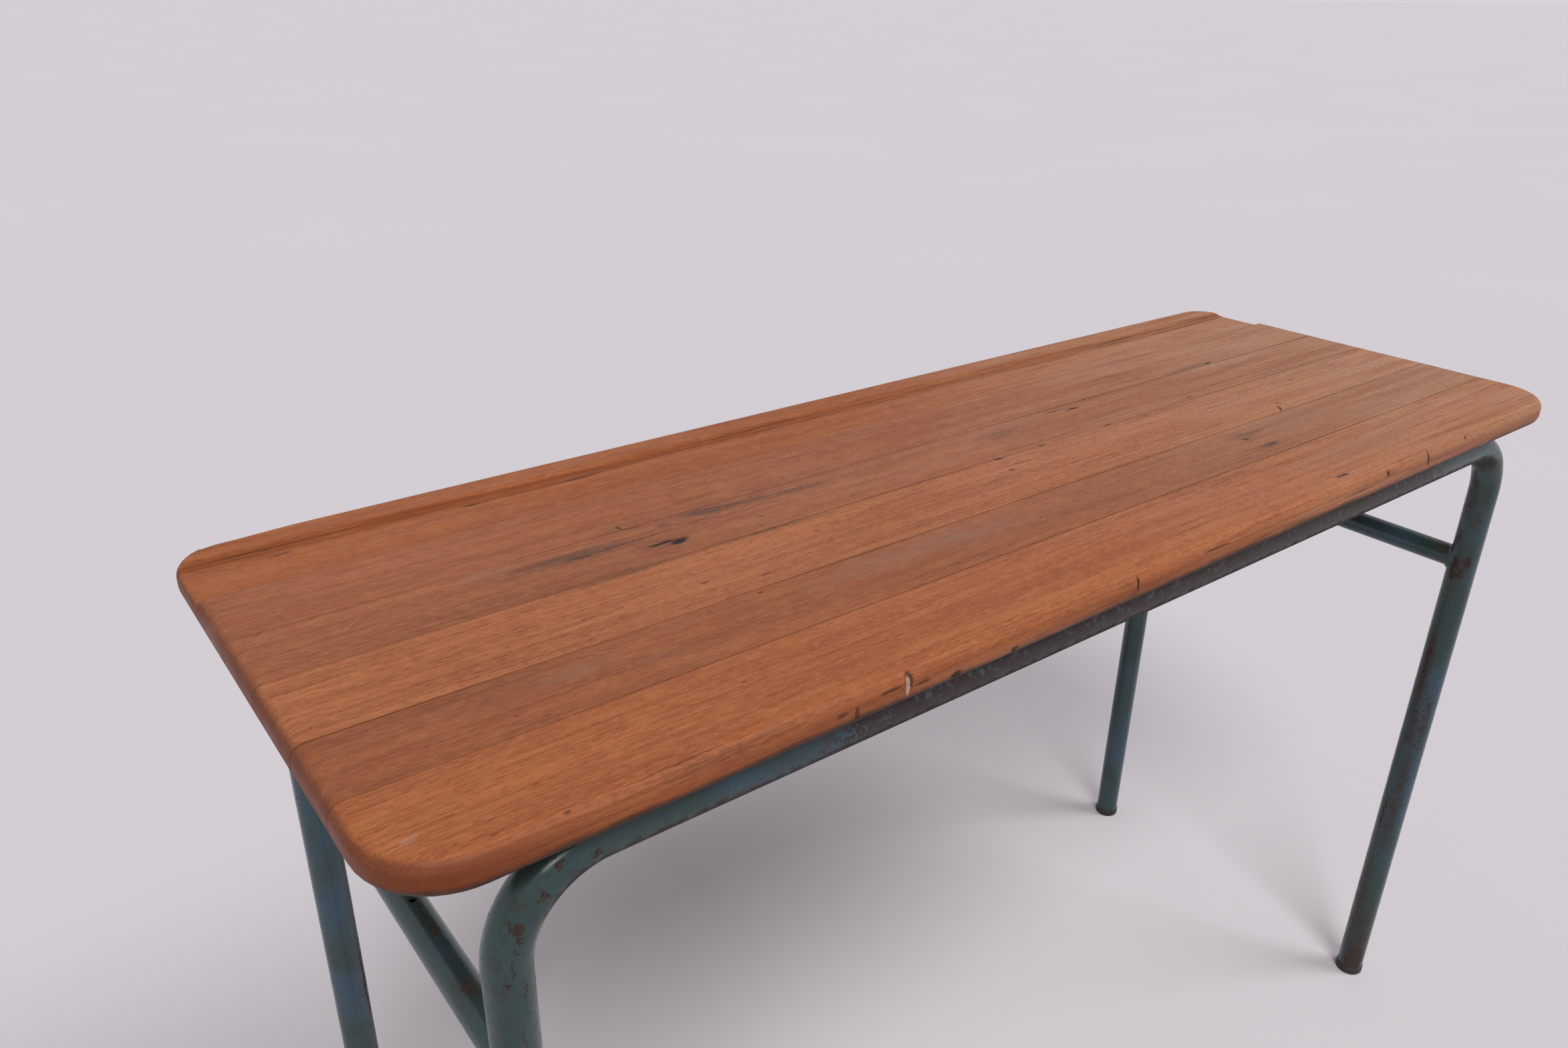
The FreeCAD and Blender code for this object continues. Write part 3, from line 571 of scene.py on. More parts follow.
def oak(look, board):
    """Old oak, planed, glued and oiled: warm satin wood with open pores, worn grey in places, partly painted
    sheen.
    """
    material, tree, shader, place = new_material("worn_oiled_oak_" + board.name)
    low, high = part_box(board.node)
    light, dark = linear(board.light), linear(board.dark)
    along, across, tall = add(tree, "SeparateXYZ", place).outputs
    sideways, _, upward = add(tree, "SeparateXYZ", add(tree, "NewGeometry").outputs["Normal"]).outputs
    grain = grain_patterns(tree, look, board, place)

    # marks are drawn with ragged edges, finer ones round a small mark
    torn, finely_torn = torn_places(tree, place, look.tear_size, board.seed,
                                    (*look.tear_reach, 0.0), (*look.small_tear_reach, 0.0))

    def near(kind):
        """The marks of a kind that reach this board."""
        return [m for m in MARKS
                if m.kind == kind and low.y / MM - MARK_REACH < m.y < high.y / MM + MARK_REACH]

    # light and dark wood in broad streaks, yellowed and reddened in patches and bleached to the right, the
    # bleaching partly painted sheen, then the dark and pale grain lines, the short fibres between them and
    # the open pores
    shade = coats(tree, dark, (look.pore_colour, 0.3))
    wood = coats(
        tree, dark,
        (light, (grain["streaks"], 0.30, 0.70)),
        (coats(tree, dark, (light, 0.5)), 0.15),
        (look.honey_colour, (grain["mottle"], 0.48, 0.68, 0.0, 0.4)),
        (look.russet_colour, (grain["mottle"], 0.50, 0.32, 0.0, 0.4)),
        # painted sheen, together with scrubbing: the top is paler towards the right
        (look.bleached_and_sheen_colour, (along, *BLEACHED_AND_SHEEN_FROM_TO, 0.0, 0.75), (grain["streak"], 0.35, 0.6, 0.4, 1.0)),
        (shade, grain["lines"]),
        (light, (grain["line"], 0.46, 0.30, 0.0, 0.6)),
        (shade, (grain["fibre"], 0.48, 0.68, 0.0, 0.6)),
        (light, (grain["fibre"], 0.50, 0.32, 0.0, 0.6)),
        (look.pore_colour, grain["pores"]),
    )

    # greyed patches, partly worn wood and partly painted sheen, with their dark specks, and stains that
    # follow the grain
    speck = patterns(tree, place, {"speck": (*look.speck_size, 2.0)}, board.seed)["speck"]
    haze = product(tree, (grain["haze"], 0.36, 0.60),
                   total(tree, mask(tree, place, near("haze"), 0.0), board.haze * 0.4),
                   (grain["mottle"], 0.30, 0.56, 0.35, 1.0), (grain["line"], 0.34, 0.54, 0.35, 1.0))
    wood = coats(
        tree, wood,
        # painted sheen, together with worn wood: grey patches
        (look.haze_and_sheen_colour, haze),
        (look.pore_colour, (speck, 0.60, 0.68, 0.0, 0.6), haze),
        (look.smudge_colour, mask(tree, torn, near("smudge"), 0.1),
         (grain["line"], 0.38, 0.58, 0.45, 1.0), (grain["fibre"], 0.30, 0.60, 0.5, 1.0)),
    )

    # growth rings show on the ends, rims are darkest where hands hold the left end, dirt and painted
    # shade lie along the lower edge, and the underside was never finished
    endwise = add(tree, "Math", sideways, operation="ABSOLUTE")
    held = product(tree, (along, *HELD_FROM_TO, 1.0, 0.3))
    above_edge = total(tree, tall, -low.z, (grain["mottle"], -EDGE_RISE_MOTTLE),
                       (grain["haze"], -EDGE_RISE_HAZE))
    below = product(tree, (upward, -0.995, -0.95, 1.0, 0.0))
    raw = coats(tree, look.underside_colour, (light, (grain["streaks"], 0.40, 0.62, 0.0, 0.6)),
                (dark, grain["lines"]))
    wood = coats(
        tree, wood,
        (look.pore_colour, (endwise, 0.35, 0.85),
         (growth_rings(tree, look, board, place), 0.2, 0.8, 0.05, 0.4)),
        (look.rim_colour, (upward, 0.55, 0.99, 0.9, 0.0), held, (grain["haze"], 0.25, 0.6, 0.6, 1.0)),
        (look.varnish_colour, (upward, -0.1, 0.45, 1.0, 0.0), held, (grain["line"], 0.35, 0.55, 0.5, 1.0)),
        # painted shade with dirt: the lower edge, which faces down, is darkened
        (look.edge_dirt_and_shade_colour, (above_edge, *EDGE_DIRT_AND_SHADE_FADE, 0.95, 0.0)),
        (raw, below, 0.85),
    )

    # dirt in the seams, more in some stretches than in others, and dirt and painted shade in the tray's cove
    number = BOARDS.index(board)
    to_front = total(tree, across, -low.y)
    to_rear = add(tree, "Math", high.y, across, operation="SUBTRACT")
    for distance, (right, left) in ((to_front, SEAM_DIRT[number]), (to_rear, SEAM_DIRT[number + 1])):
        wood = coats(tree, wood, (look.seam_colour, (distance, *SEAM_FADE, 1.0, 0.0),
                                  (grain["haze"], 0.38, 0.60, 0.45, 1.0),
                                  (along, *SEAM_DIRT_FROM_TO, left, right)))
    if board.node == BOARDS[-1].node:
        wood = coats(tree, wood, *tray_dirt_and_shade(tree, look, grain, across, high.y))

    # scratches, the finish rubbed through, and last the dents, knots, cracks and chips
    wood = coats(
        tree, wood,
        (look.scratch_colour, mask(tree, place, near("scratch"), 0.2)),
        (look.scratch_colour, mask(tree, torn, near("worn"), 0.2), (grain["line"], 0.36, 0.56, 1.0, 0.2)),
    )
    for kind, soft, full, tint in (
        ("dent", 0.35, 0.8, look.crack_and_cove_shade_colour),
        ("knot", 0.35, 1.0, look.knot_colour),
        ("crack", 0.5, 1.0, look.crack_and_cove_shade_colour),
        ("pale", 0.6, 1.0, look.pale_colour),
    ):
        large = [m for m in near(kind) if max(m.long, m.wide) > LARGE_MARK]
        small = [m for m in near(kind) if m not in large]
        shown = add(tree, "Math", mask(tree, torn, large, soft), mask(tree, finely_torn, small, soft),
                    operation="MAXIMUM")
        wood = coats(tree, wood, (tint, shown, full))

    # a thin worn finish: satin where it is left, dull where it is worn through or dirty
    dull = total(tree, product(tree, (grain["haze"], 0.35, 0.65, 0.40, 0.54)), (grain["pores"], 0.25))
    dull = add(tree, "Math", dull, product(tree, below, 0.75), operation="MAXIMUM")
    relief = add(tree, "Math", product(tree, grain["line"], 0.5), grain["pores"], operation="SUBTRACT")
    shader.inputs["Specular IOR Level"].default_value = 0.14
    finish_surface(tree, shader, wood, dull, (0.5, look.grain_depth, None, relief))
    return material


class Patch(namedtuple("Patch", "kind x y z size share")):
    """A worn place on the frame.

    It has its kind, its middle, its size along X, Y and Z, all in millimetres, and how strongly
    it shows.
    """

    turn = 0

    @property
    def middle(self):
        """Its middle in the frame."""
        return Vector((self.x * MM, self.y * MM, self.z * MM))

    @property
    def half(self):
        """Half its size."""
        return Vector([side / 2 * MM for side in self.size])


PATCHES = {
    "front_leg_frame": (
        ("rubbed", 35, -205, 764, (1058, 90, 90), 1.0),
        # the left bend and the leg below it
        ("rust", -579, -219.3, 733, (10, 20, 20), 1.0),
        ("rust", -563, -218, 752, (12, 16, 18), 0.85),
        ("rust", -551, -217, 764, (14, 16, 8), 0.75),
        ("rust", -530, -220, 763, (18, 16, 5), 0.75),
        ("rust", -582.5, -220, 722, (6, 16, 9), 0.8),
        ("rust", -585, -220, 711, (3.5, 16, 26), 0.8),
        ("rust", -588.3, -219, 700, (6, 16, 7), 0.8),
        ("rust", -564, -213, 728, (8, 16, 20), 0.9),
        ("rust", -533, -214, 753, (40, 20, 7), 0.7),
        ("rust", -553, -214, 751, (14, 16, 6), 0.6),
        ("rust", -582, -220, 681, (3, 16, 8), 0.8),
        ("rust", -579, -219.5, 683, (1.6, 16, 56), 1.0),
        ("rust", -582.5, -220, 656, (1.8, 16, 30), 1.0),
        ("stain", -580, -219, 748, (24, 24, 16), 0.6),
        ("stain", -593, -215, 715, (14, 24, 16), 0.6),
        ("stain", -593, -216, 693, (12, 24, 14), 0.5),
        ("stain", -571, -217, 700, (18, 30, 80), 0.5),
        ("specks", -578, -214, 722, (70, 40, 100), 0.8),
        ("specks", -580, -216, 660, (50, 40, 90), 0.5),
        # the right bend, with painted shade in its inner corner, the joint of the side rail and the long
        # stain down the leg
        ("rust", 530, -209, 751, (60, 20, 6), 0.7),
        # painted shade, with a stain: the inner corner of the right bend is darkened
        ("stain", 566, -212, 742, (30, 36, 34), 0.8),
        ("stain", 568, -198, 700, (18, 36, 103), 0.9),
        ("stain", 571, -214, 700, (15, 18, 57), 0.7),
        ("stain", 569, -212, 668, (14, 21, 34), 0.8),
        ("rust", 569, -199, 683, (5, 10, 9), 0.8),
        ("rust", 569, -198, 645, (6, 14, 36), 0.8),
        ("rust", 568, -202, 607, (12, 15, 52), 1.0),
        ("rust", 571, -213, 617, (14, 16, 24), 1.0),
        ("rust", 569, -209, 604, (12, 14, 22), 0.9),
        ("stain", 568, -205, 612, (39, 39, 92), 0.7),
        ("stain", 568, -202, 470, (26, 22, 230), 1.0),
        ("rust", 568, -202, 480, (11, 10, 150), 0.85),
        ("stain", 568, -206, 395, (21, 18, 103), 1.0),
        ("rust", 573, -217, 427, (10, 9, 20), 0.8),
        ("stain", 573, -216, 400, (15, 15, 103), 0.8),
        ("stain", 568.5, -210, 290, (21, 21, 276), 0.9),
        ("rust", 568, -200, 260, (7, 7, 130), 0.75),
        ("stain", 568, -200, 120, (22, 27, 299), 0.9),
        ("stain", 570, -210, 60, (45, 39, 218), 0.9),
        ("specks", 568, -210, 400, (50, 40, 520), 0.5),
        ("foot", 572, -212, 20, (46, 40, 110), 1.0),
        ("foot", -582.5, -205, 0, (80, 80, 100), 0.8),
    ),
    "rear_leg_frame": (
        ("rust", -571, 195, 350, (7, 9, 170), 0.8),
        ("stain", -567, 199, 330, (21, 24, 345), 0.8),
        ("rust", -566.5, 200, 240, (7, 11, 190), 0.9),
        ("stain", -566.5, 200, 90, (18, 27, 276), 0.9),
        ("stain", 593.5, 188, 250, (18, 18, 345), 0.8),
        ("foot", 582.5, 205, 0, (80, 80, 60), 0.8),
        ("foot", -582.5, 205, 0, (80, 80, 80), 0.8),
    ),
    "left_side_rail": (
        ("rust", -582, -81, 627, (9, 15, 12), 1.0),
        ("rust", -583, -137.5, 627, (13, 18, 10), 0.9),
        ("rust", -588, -128, 626, (3, 14, 5), 0.7),
        ("stain", -584, -137, 627, (27, 39, 18), 0.6),
    ),
    "right_side_rail": (
        ("stain", 574, -184, 624, (27, 27, 18), 0.9),
        ("rust", 574, -186, 625, (8, 8, 8), 0.8),
    ),
}

# How chipped the enamel of each piece is, and the seed of its pattern.
ENAMEL = {
    "front_leg_frame": (0.30, 2.0),
    "rear_leg_frame": (0.26, 8.0),
    "left_side_rail": (0.22, 5.0),
    "right_side_rail": (0.22, 6.0),
    "welds": (0.30, 11.0),
    "lugs": (0.30, 14.0),
}

# How far outlines on the frame are torn along X, Y and Z, in sizes of a small chip.
FRAME_TEAR = Vector((2.4, 2.4, 4.0))


def enamel(look, name):
    """Stoved enamel on steel tube: semi-gloss blue-green, chipped to rust and rubbed at the rail."""
    material, tree, shader, place = new_material("worn_enamel_" + name)
    patches = [Patch(*row) for row in PATCHES.get(name, ())]
    chipped, seed = ENAMEL[name]
    clouds = patterns(tree, place, {
        "cloud": (look.patch_size, 3.0),
        "chip": (look.chip_size, 4.0),
        "edge": (look.patch_size / 6, 5.0),
        "scuff": (look.scuff_size, 3.0),
        "speck": (look.chip_size / 4, 2.0),
        "where": (look.patch_size * 2, 2.0),
        "lace": (look.lace_size, 4.0),
    }, seed)
    upward = add(tree, "SeparateXYZ", add(tree, "NewGeometry").outputs["Normal"]).outputs["Z"]
    torn, = torn_places(tree, place, [look.chip_size], seed, FRAME_TEAR * look.chip_size)

    def masked(kind, where, soft=0.1):
        """The mask of the patches of a kind."""
        return mask(tree, where, [p for p in patches if p.kind == kind], soft)

    paint = coats(
        tree, look.enamel_green,
        (look.enamel_colour, (clouds["cloud"], 0.36, 0.62)),
        (look.enamel_blue, (clouds["where"], 0.48, 0.68)),
        (look.grime_and_shade_colour, (clouds["scuff"], 0.52, 0.70, 0.0, 0.3)),
        (look.rubbed_colour, (clouds["scuff"], 0.46, 0.28, 0.0, 0.15)),
    )

    # the rail is rubbed through to brown steel, with flakes of undercoat and enamel left above; grime
    # and painted shade darken its underside
    worn = grime_and_shade = 0.0
    if any(p.kind == "rubbed" for p in patches):
        flaked = total(tree, (clouds["edge"], 1.2), (clouds["chip"], 1.6))
        worn = product(tree, (total(tree, masked("rubbed", place, 0.6), flaked), 1.84, 1.94))
        steel = coats(tree, look.steel_colour,
                      (look.stain_colour, (clouds["scuff"], 0.45, 0.65, 0.0, 0.6)),
                      (look.rubbed_colour, (flaked, 1.46, 1.64), (upward, -0.2, 0.5, 0.1, 0.6)))
        facing = total(tree, upward, (clouds["edge"], 0.8))
        height = add(tree, "SeparateXYZ", place).outputs["Z"]
        # painted shade with grime: the faces of the rail that turn down are darkened
        grime_and_shade = product(tree, (facing, -0.10, 0.45, 0.95, 0.0), (height, *RAIL_GRIME_AND_SHADE_FROM_TO))
        paint = coats(tree, paint, (steel, worn), (look.grime_and_shade_colour, grime_and_shade))

    # stains washed down the enamel with soft edges, and rust: the patches with broken edges, the
    # feet, and small chips all over
    stained = product(tree, masked("stain", torn, 0.2), (clouds["edge"], 0.30, 0.60, 0.55, 1.0))
    foot = masked("foot", place)
    broken = total(tree, masked("rust", torn), (clouds["chip"], 0.45), (clouds["lace"], 0.5))
    footed = total(tree, foot, (clouds["edge"], 0.8))
    chips = total(tree, clouds["chip"], (clouds["where"], chipped), (masked("specks", place), 0.09))
    rusty = product(tree, (broken, 0.78, 0.96, 0.0, 0.95))
    for more in ((footed, 0.75, 1.15, 0.0, 0.9), (chips, 0.80, 0.86, 0.0, 0.85)):
        rusty = add(tree, "Math", rusty, product(tree, more), operation="MAXIMUM")
    fresh = add(tree, "Math", product(tree, (clouds["scuff"], 0.42, 0.64)), product(tree, foot, 0.6),
                operation="MAXIMUM")
    rust = coats(tree, look.rust_colour, (look.rust_bright, fresh))
    paint = coats(tree, paint, (look.stain_colour, stained), (rust, rusty))

    rough = total(tree, product(tree, (clouds["edge"], 0.35, 0.65, 0.16, 0.28)), (stained, 0.25))
    for share, roughness in ((rusty, 0.78), (worn, 0.42), (grime_and_shade, 0.85)):
        rough = add(tree, "Math", rough, product(tree, share, roughness), operation="MAXIMUM")
    lost = add(tree, "Math", rusty, worn, operation="MAXIMUM")
    relief = add(tree, "Math", product(tree, clouds["speck"], lost), lost, operation="SUBTRACT")
    shader.inputs["Specular IOR Level"].default_value = 0.5
    connect(tree, product(tree, worn, 0.3), shader.inputs["Metallic"])
    finish_surface(tree, shader, paint, rough, (0.6, look.chip_depth, None, relief))
    return material


def moulded_plug(look):
    """Moulded rubber-like plastic: nearly black, matt and scuffed."""
    material, tree, shader, place = new_material("scuffed_moulded_plastic")
    clouds = patterns(tree, place, {
        "scuff": (look.plug_scuff_size, 4.0),
        "fine": (look.plug_grain_size, 2.0),
    }, 4.0)
    scuffed = product(tree, (clouds["scuff"], 0.45, 0.7))
    finish_surface(tree, shader, coats(tree, look.plug_colour, (look.rust_colour, scuffed, 0.5)),
                   product(tree, (scuffed, 0.0, 1.0, 0.55, 0.8)),
                   (0.4, look.plug_grain_depth, None, clouds["fine"]))
    return material


def plated_steel(look):
    """Zinc plated steel, dulled with age: grey with brown spots."""
    material, tree, shader, place = new_material("dull_plated_steel")
    clouds = patterns(tree, place, {"spot": (look.spot_size, 3.0), "dull": (look.dull_size, 2.0)}, 6.0)
    spots = product(tree, (clouds["spot"], 0.56, 0.68))
    dull = add(tree, "Math", product(tree, (clouds["dull"], 0.3, 0.7, 0.35, 0.55)),
               product(tree, spots, 0.8), operation="MAXIMUM")
    shader.inputs["Metallic"].default_value = 0.9
    finish_surface(tree, shader, coats(tree, look.screw_colour, (look.rust_colour, spots)), dull)
    return material


def pale_floor(look):
    """Matt painted floor: even and pale, with no pattern that competes with the desk."""
    material, tree, shader, place = new_material("pale_matt_floor")
    cloud = patterns(tree, place, {"cloud": (look.cloud_size, 2.0)}, 1.0)["cloud"]
    shader.inputs["Specular IOR Level"].default_value = 0.2
    tint = coats(tree, look.floor_colour, (MID_GREY, (cloud, 0.3, 0.7, 0.0, 0.06)))
    finish_surface(tree, shader, tint, 0.9)
    return material


def solid_of(node):
    """A mesh to work on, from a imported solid: its points merged and its flat faces made whole."""
    bm = bmesh.new()
    bm.from_mesh(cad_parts[node].data)
    bmesh.ops.remove_doubles(bm, verts=bm.verts, dist=MERGE)
    bmesh.ops.dissolve_limit(bm, angle_limit=FLAT_ANGLE, verts=bm.verts, edges=bm.edges)
    return bm


def finish_piece(bm, name, nodes, material, sharp=35.0):
    """Make an object of the mesh, with smooth faces and sharp corners, in place of its nodes."""
    for face in bm.faces:
        face.smooth = True
    for edge in bm.edges:
        edge.smooth = len(edge.link_faces) == 2 and edge.calc_face_angle(math.pi) < math.radians(sharp)
    mesh = bpy.data.meshes.new(name)
    bm.to_mesh(mesh)
    bm.free()
    mesh.materials.append(material)
    piece = bpy.data.objects.new(name, mesh)
    bpy.context.scene.collection.objects.link(piece)
    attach(piece, BODY)
    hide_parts(*nodes)
    return piece


def ease(bm, edges, offset, segments=2):
    """Round edges over."""
    bmesh.ops.bevel(bm, geom=edges, offset=offset, segments=segments, profile=0.5,
                    affect="EDGES", material=-1, clamp_overlap=True)


def cut_lattice(bm, faces, axis, low, high, step):
    """Cut faces with planes square to an axis, evenly spaced about every step."""
    count = max(1, round((high - low) / step))
    normal = Vector((0.0, 0.0, 0.0))
    normal[axis] = 1.0
    for index in range(1, count):
        middle = Vector((0.0, 0.0, 0.0))
        middle[axis] = low + (high - low) * index / count
        edges = {e for f in faces for e in f.edges}
        verts = {v for f in faces for v in f.verts}
        cut = bmesh.ops.bisect_plane(bm, geom=[*verts, *edges, *faces], dist=NEAR,
                                     plane_co=middle, plane_no=normal)["geom"]
        faces = [g for g in cut if isinstance(g, bmesh.types.BMFace)]
    return faces


def press_marks(bm, look, low, high):
    """Refine the mesh round each deep mark and press it in."""
    for mark in MARKS:
        centre, half = mark.middle, mark.half
        reach = max(half.x, half.y)
        if mark.deep == 0 or not low.y - reach < centre.y < high.y + reach:
            continue
        reaches = (reach, reach, half.z)

        def touched(face):
            """True for an outer face that reaches the mark."""
            return face.normal.z > FACES_DOWN and all(
                min(v.co[axis] for v in face.verts) < centre[axis] + reaches[axis]
                and max(v.co[axis] for v in face.verts) > centre[axis] - reaches[axis] for axis in range(3))

        faces = [f for f in bm.faces if touched(f)]
        for axis in (0, 2) if mark.down else (0, 1):
            beyond = reaches[axis] * CUT_BEYOND
            faces = cut_lattice(bm, faces, axis, centre[axis] - beyond, centre[axis] + beyond, look.mark_step)
        turn = Matrix.Rotation(-math.radians(mark.turn), 3, "Z")
        bm.normal_update()
        moves = []
        for vert in bm.verts:
            away = turn @ (vert.co - centre)
            share = Vector((away.x / half.x, away.y / half.y, away.z / half.z)).length
            if share < 1 + LOBES and vert.normal.z > FACES_DOWN:
                share += LOBES * noise.noise(vert.co / look.lobe_pitch)
                if share < 1:
                    moves.append((vert, vert.normal * -mark.deep * MM * (1 - share * share)))
        for vert, move in moves:
            vert.co += move


class DESK_OT_boards(bpy.types.Operator):
    """Make the six boards of the top, with eased seams, shallow wear, dents and chips"""

    bl_idname = "desk.boards"
    bl_label = "Oak boards"

    def execute(self, context):
        look = context.scene.desk_top
        front, rear = CAD_BOX[0][1], CAD_BOX[1][1]
        from_x, full_x = END_WEAR_FROM_TO
        for board in BOARDS:
            low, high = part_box(board.node)
            bm = solid_of(board.node)
            seams = [y for y in (low.y, high.y) if front + MM < y < rear - MM]
            eased = []
            for edge in bm.edges:
                points = [v.co for v in edge.verts]
                for y in seams:
                    on_seam = all(abs(p.y - y) < NEAR for p in points)
                    if on_seam and max(p.z for p in points) > low.z + MM:
                        eased.append(edge)
            ease(bm, eased, look.seam_ease)
            faces = cut_lattice(bm, bm.faces[:], 0, low.x, high.x, look.lattice_step[0])
            cut_lattice(bm, faces, 1, low.y, high.y, look.lattice_step[1])
            press_marks(bm, look, low, high)
            for vert in bm.verts:
                if vert.co.z > high.z - look.wear_reach:
                    place = Vector((vert.co.x * HOLLOW_STRETCH, vert.co.y, board.seed))
                    worn = noise.noise(place / look.wear_pitch)
                    vert.co.z -= look.surface_wear * (0.5 + 0.5 * worn)
                # the rear edge is worn back towards its left end
                if vert.co.y > rear - look.end_wear_reach:
                    share = (from_x - vert.co.x) / (from_x - full_x)
                    vert.co.y -= look.end_wear * min(1.0, max(0.0, share))
            finish_piece(bm, board.name, [board.node], oak(look, board), sharp=18.0)
        return {"FINISHED"}


def ring_edges(verts):
    """The edges that join a ring of verts."""
    chosen = set(verts)
    return [e for e in {e for v in verts for e in v.link_edges} if set(e.verts) <= chosen]


def run_straight(bm, verts, move, step):
    """Draw a ring along a straight line in even steps and return the last ring."""
    count = max(1, round(move.length / step))
    for _ in range(count):
        made = bmesh.ops.extrude_edge_only(bm, edges=ring_edges(verts))["geom"]
        verts = [g for g in made if isinstance(g, bmesh.types.BMVert)]
        bmesh.ops.translate(bm, verts=verts, vec=move / count)
    return verts


def run_bend(bm, verts, centre, steps):
    """Draw a ring round a quarter turn about a line along Y and return the last ring."""
    made = bmesh.ops.spin(bm, geom=[*verts, *ring_edges(verts)], cent=centre, axis=(0, 1, 0),
                          angle=math.pi / 2, steps=steps, use_merge=False)["geom_last"]
    return [g for g in made if isinstance(g, bmesh.types.BMVert)]


class DESK_OT_leg_frames(bpy.types.Operator):
    """Make the two bent tubes, each a leg, a rail and a leg in one piece, open at the feet"""

    bl_idname = "desk.leg_frames"
    bl_label = "Leg frames"

    def execute(self, context):
        look = context.scene.desk_frame
        for node in ("front_leg_frame", "rear_leg_frame"):
            low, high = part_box(node)
            radius = (high.y - low.y) / 2
            y = (high.y + low.y) / 2
            leg_x = high.x - radius
            bend_x = leg_x - look.bend_radius
            bend_z = high.z - radius - look.bend_radius
            bm = bmesh.new()
            ends = []
            for tube_radius in (radius, radius - look.wall):
                foot = Matrix.Translation((-leg_x, y, low.z))
                ring = bmesh.ops.create_circle(bm, cap_ends=False, segments=look.tube_sides,
                                               radius=tube_radius, matrix=foot)["verts"]
                ends.append(ring_edges(ring))
                ring = run_straight(bm, ring, Vector((0, 0, bend_z - low.z)), look.run_step)
                ring = run_bend(bm, ring, (-bend_x, y, bend_z), look.bend_steps)
                ring = run_straight(bm, ring, Vector((2 * bend_x, 0, 0)), look.run_step)
                ring = run_bend(bm, ring, (bend_x, y, bend_z), look.bend_steps)
                ring = run_straight(bm, ring, Vector((0, 0, low.z - bend_z)), look.run_step)
                ends.append(ring_edges(ring))
            bmesh.ops.bridge_loops(bm, edges=ends[0] + ends[2])
            bmesh.ops.bridge_loops(bm, edges=ends[1] + ends[3])
            bmesh.ops.recalc_face_normals(bm, faces=bm.faces)
            for vert in bm.verts:
                stray = noise.noise_vector(vert.co / look.uneven_pitch) * look.tube_unevenness
                vert.co += Vector((stray.x, stray.y, 0.0))
            finish_piece(bm, node.replace("_frame", "_tube"), [node], enamel(look, node))
        return {"FINISHED"}


class DESK_OT_side_rails(bpy.types.Operator):
    """Make the rail at each end, coped to sit round the legs"""

    bl_idname = "desk.side_rails"
    bl_label = "Side rails"

    def execute(self, context):
        look = context.scene.desk_frame
        for node in ("left_side_rail", "right_side_rail"):
            low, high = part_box(node)
            bm = solid_of(node)
            cut_lattice(bm, bm.faces[:], 1, low.y, high.y, look.run_step)
            finish_piece(bm, node.replace("_rail", "_tube"), [node], enamel(look, node))
        return {"FINISHED"}


class DESK_OT_welds(bpy.types.Operator):
    """Ripple the weld round each end of the side rails"""

    bl_idname = "desk.welds"
    bl_label = "Weld beads"

    def execute(self, context):
        look = context.scene.desk_frame
        rail_low, rail_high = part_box("left_side_rail")
        leg_low, leg_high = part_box("front_leg_frame")
        rail_radius = (rail_high.z - rail_low.z) / 2
        rail_z = (rail_high.z + rail_low.z) / 2
        leg_x = leg_high.x - (leg_high.y - leg_low.y) / 2
        ripples = round(2 * math.pi * rail_radius / look.bead_pitch)
        bm = solid_of("weld_beads")
        for side_x in (-1, 1):
            for side_y in (-1, 1):
                faces = [f for f in bm.faces if f.verts[0].co.x * side_x > 0 and f.verts[0].co.y * side_y > 0]
                for axis in range(3):
                    places = [v.co[axis] for f in faces for v in f.verts]
                    faces = cut_lattice(bm, faces, axis, min(places), max(places), look.bead_step)
        bm.normal_update()
        for vert in bm.verts:
            side_x = math.copysign(leg_x, vert.co.x)
            around = math.atan2(vert.co.z - rail_z, vert.co.x - side_x)
            # even ripples round the joint, with lumps of spatter between them
            ripple = 0.5 + 0.3 * math.cos(around * ripples) + 0.4 * noise.noise(vert.co / look.spatter_pitch)
            vert.co += vert.normal * look.bead_height * ripple
        finish_piece(bm, "rippled_welds", ["weld_beads"], enamel(look, "welds"), sharp=60.0)
        return {"FINISHED"}


class DESK_OT_plugs(bpy.types.Operator):
    """Make the plug in each foot, with its cap's rims rounded and worn"""

    bl_idname = "desk.plugs"
    bl_label = "Foot plugs"

    def execute(self, context):
        look = context.scene.desk_frame
        material = moulded_plug(look)
        for node in sorted(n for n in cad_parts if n.startswith("foot_plug")):
            low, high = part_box(node)
            middle = (low + high) / 2
            rim_radius = (high.x - low.x) / 2 * 0.99
            bm = solid_of(node)
            rims = []
            for edge in bm.edges:
                points = [v.co for v in edge.verts]
                outer = all(math.hypot(p.x - middle.x, p.y - middle.y) > rim_radius for p in points)
                level = abs(points[0].z - points[1].z) < NEAR and len(edge.link_faces) == 2
                if outer and level and edge.calc_face_angle() > RIM_ANGLE:
                    rims.append(edge)
            ease(bm, rims, look.edge_ease * 2, 4)
            finish_piece(bm, node.replace("foot_plug", "worn_plug"), [node], material)
        return {"FINISHED"}


class DESK_OT_lugs(bpy.types.Operator):
    """Make the lugs that carry the top, with their sheared edges eased"""

    bl_idname = "desk.lugs"
    bl_label = "Fixing lugs"

    def execute(self, context):
        look = context.scene.desk_frame
        material = enamel(look, "lugs")
        for node in sorted(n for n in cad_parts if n.startswith("fixing_lug")):
            bm = solid_of(node)
            ease(bm, [e for e in bm.edges if len(e.link_faces) == 2 and e.calc_face_angle() > CORNER_ANGLE],
                 look.edge_ease / 2)
            finish_piece(bm, node.replace("fixing_lug", "eased_lug"), [node], material)
        return {"FINISHED"}


